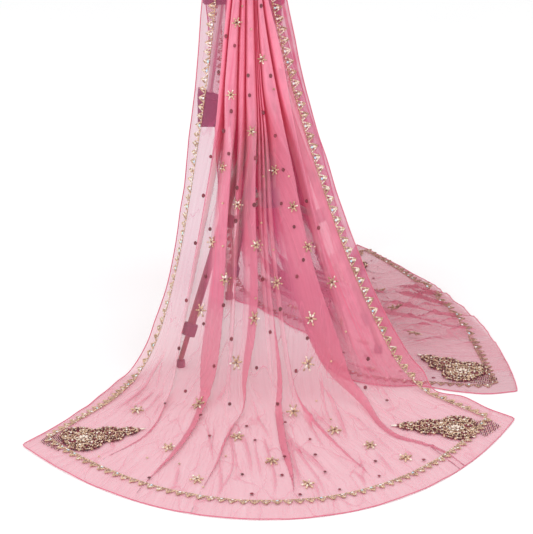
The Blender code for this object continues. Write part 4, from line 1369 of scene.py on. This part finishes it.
def stand_material(name, dark, bright, metallic, roughness, scale, strength):
    """Moulded plastic or anodised tube, with fine grain and faint wear."""
    look, tree, shader = shader_material(name, Metallic=metallic)
    grain = on_object(tree, "ShaderNodeTexNoise", Scale=scale, Detail=4.0)
    wear = on_object(tree, "ShaderNodeTexNoise", Scale=26.0, Detail=3.0)
    tree.links.new(mixed(tree, wear, dark, bright), shader.inputs["Base Color"])
    rough = math_node(tree, "ADD", math_node(tree, "MULTIPLY", wear, 0.18), roughness)
    tree.links.new(rough, shader.inputs["Roughness"])
    add_bump(tree, shader, grain, strength, 0.0003)
    return look


# -------------------------------------------------------------------- scene

def dress_stand():
    """Give the stand's solids their finishes."""
    plastic = stand_material("stand_plastic_plum", (0.100, 0.062, 0.084), (0.165, 0.112, 0.140),
                             0.0, 0.42, 700.0, 0.35)
    metal = stand_material("stand_bronze_tube", (0.20, 0.12, 0.10), (0.34, 0.23, 0.20),
                           0.75, 0.30, 300.0, 0.12)
    satin = stand_material("stand_satin_rod", (0.60, 0.54, 0.54), (0.78, 0.72, 0.71),
                           0.3, 0.35, 300.0, 0.1)
    for name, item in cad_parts.items():
        if not name.startswith("stand_"):
            continue
        is_tube = item.data.materials and "tube" in item.data.materials[0].name
        for slot in item.material_slots:
            slot.material = satin if name == "stand_grip_rod" else metal if is_tube else plastic


def make_floor():
    """A wide pale floor."""
    look, tree, shader = shader_material("pale_floor", Roughness=0.9, Specular_IOR_Level=0.05)
    grain = on_object(tree, "ShaderNodeTexNoise", Scale=3.0, Detail=2.0)
    tree.links.new(mixed(tree, grain, (0.93, 0.93, 0.935), (0.95, 0.95, 0.95)), shader.inputs["Base Color"])
    corners = ((-1, -1), (1, -1), (1, 1), (-1, 1))
    mesh = bpy.data.meshes.new("floor")
    mesh.from_pydata([(FLOOR_REACH * x, FLOOR_REACH * y, -0.0003) for x, y in corners], [], [(0, 1, 2, 3)])
    mesh.materials.append(look)
    floor = bpy.data.objects.new("floor", mesh)
    bpy.context.scene.collection.objects.link(floor)


def make_light():
    """A pale surround with one broad soft light in front and one above."""
    world = bpy.data.worlds.new("studio")
    bpy.context.scene.world = world
    world.use_nodes = True
    world.node_tree.nodes["Background"].inputs["Color"].default_value = (1.0, 1.0, 1.0, 1)
    world.node_tree.nodes["Background"].inputs["Strength"].default_value = 0.97
    for name, place, target, size, power in (
        ("key", (-1.6, -2.8, 2.6), (0, 0, 0.25), 2.4, 34.0),
        ("top", (0.8, -0.4, 3.2), (0, 0, 0.1), 2.6, 16.0),
    ):
        data = bpy.data.lights.new(name, "AREA")
        data.size = size
        data.energy = power
        lamp = bpy.data.objects.new(name, data)
        lamp.location = Vector(place)
        lamp.rotation_euler = (Vector(target) - Vector(place)).to_track_quat("-Z", "Y").to_euler()
        bpy.context.scene.collection.objects.link(lamp)


def make_camera():
    """The camera at the photograph's place, 3.6 m in front and looking down."""
    data = bpy.data.cameras.new("camera")
    data.sensor_width = 36.0
    data.lens = CAMERA_LENS
    data.clip_end = 60.0
    camera = bpy.data.objects.new("camera", data)
    camera.location = AXIS + CAMERA_PLACE
    camera.rotation_euler = (math.pi / 2 - math.radians(CAMERA_TILT), 0, 0)
    bpy.context.scene.collection.objects.link(camera)
    bpy.context.scene.camera = camera


def main():
    """Dress the part and set the scene."""
    scene = bpy.context.scene
    scene.view_settings.view_transform = "Standard"
    make_camera()
    make_light()
    make_floor()
    dress_stand()
    # In each net the third colour is the painted shade of its grooves and fine pleats
    nets = {
        # The last number of each net is how strongly its hanging cloth takes painted shade
        "front": net_material("rose_net_front", (0.73, 0.155, 0.25), (0.87, 0.285, 0.385),
                              (0.56, 0.022, 0.090), 0.365, 0.58, 0.85),
        # The back half's colours are darker and greyer than the front's: painted shade, as the back lies in
        # shade, and its denser wrinkles
        "back": net_material("rose_net_back_shaded", (0.56, 0.135, 0.205), (0.66, 0.150, 0.225),
                             (0.44, 0.018, 0.070), 0.40, 0.58, 0.35),
    }
    rim = edge_material()
    looks = [
        bead_material("gold_beads", (0.34, 0.19, 0.115), (0.80, 0.57, 0.39), 0.30, 0.36),
        bead_material("cream_beads", (0.76, 0.58, 0.46), (0.97, 0.88, 0.78), 0.10, 0.30, 0.3),
        bead_material("maroon_beads", (0.10, 0.008, 0.018), (0.27, 0.030, 0.050), 0.0, 0.42, 0.1),
        bead_material("plum_beads", (0.05, 0.008, 0.014), (0.16, 0.035, 0.04), 0.1, 0.34, 0.15),
        pearl_material(),
    ]
    wrong_side = [
        bead_material("dull_gold_beads", (0.20, 0.085, 0.060), (0.52, 0.30, 0.21), 0.1, 0.55),
        bead_material("dull_cream_beads", (0.42, 0.26, 0.20), (0.70, 0.52, 0.42), 0.0, 0.55),
        *looks[2:],
    ]
    solids = {
        "front": ("front_spread", "front_fall", "top_fold"),
        "back": ("back_fall", "back_spread"),
    }
    for half in ("front", "back"):
        sheet = make_sheet(half)
        net = net_object(sheet, nets[half])
        rim_piece = edge_object(sheet, rim)
        shown = looks if half == "front" else wrong_side
        border = border_object(sheet, shown)
        scatter = scatter_object(sheet, shown)
        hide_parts(*solids[half])
        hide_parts(*(f"border_{half}_{side}" for side in ("left", "right", "hem")))
        motifs = [motif_object(name, looks) for name, row in MOTIFS.items() if row[0] == half]


main()
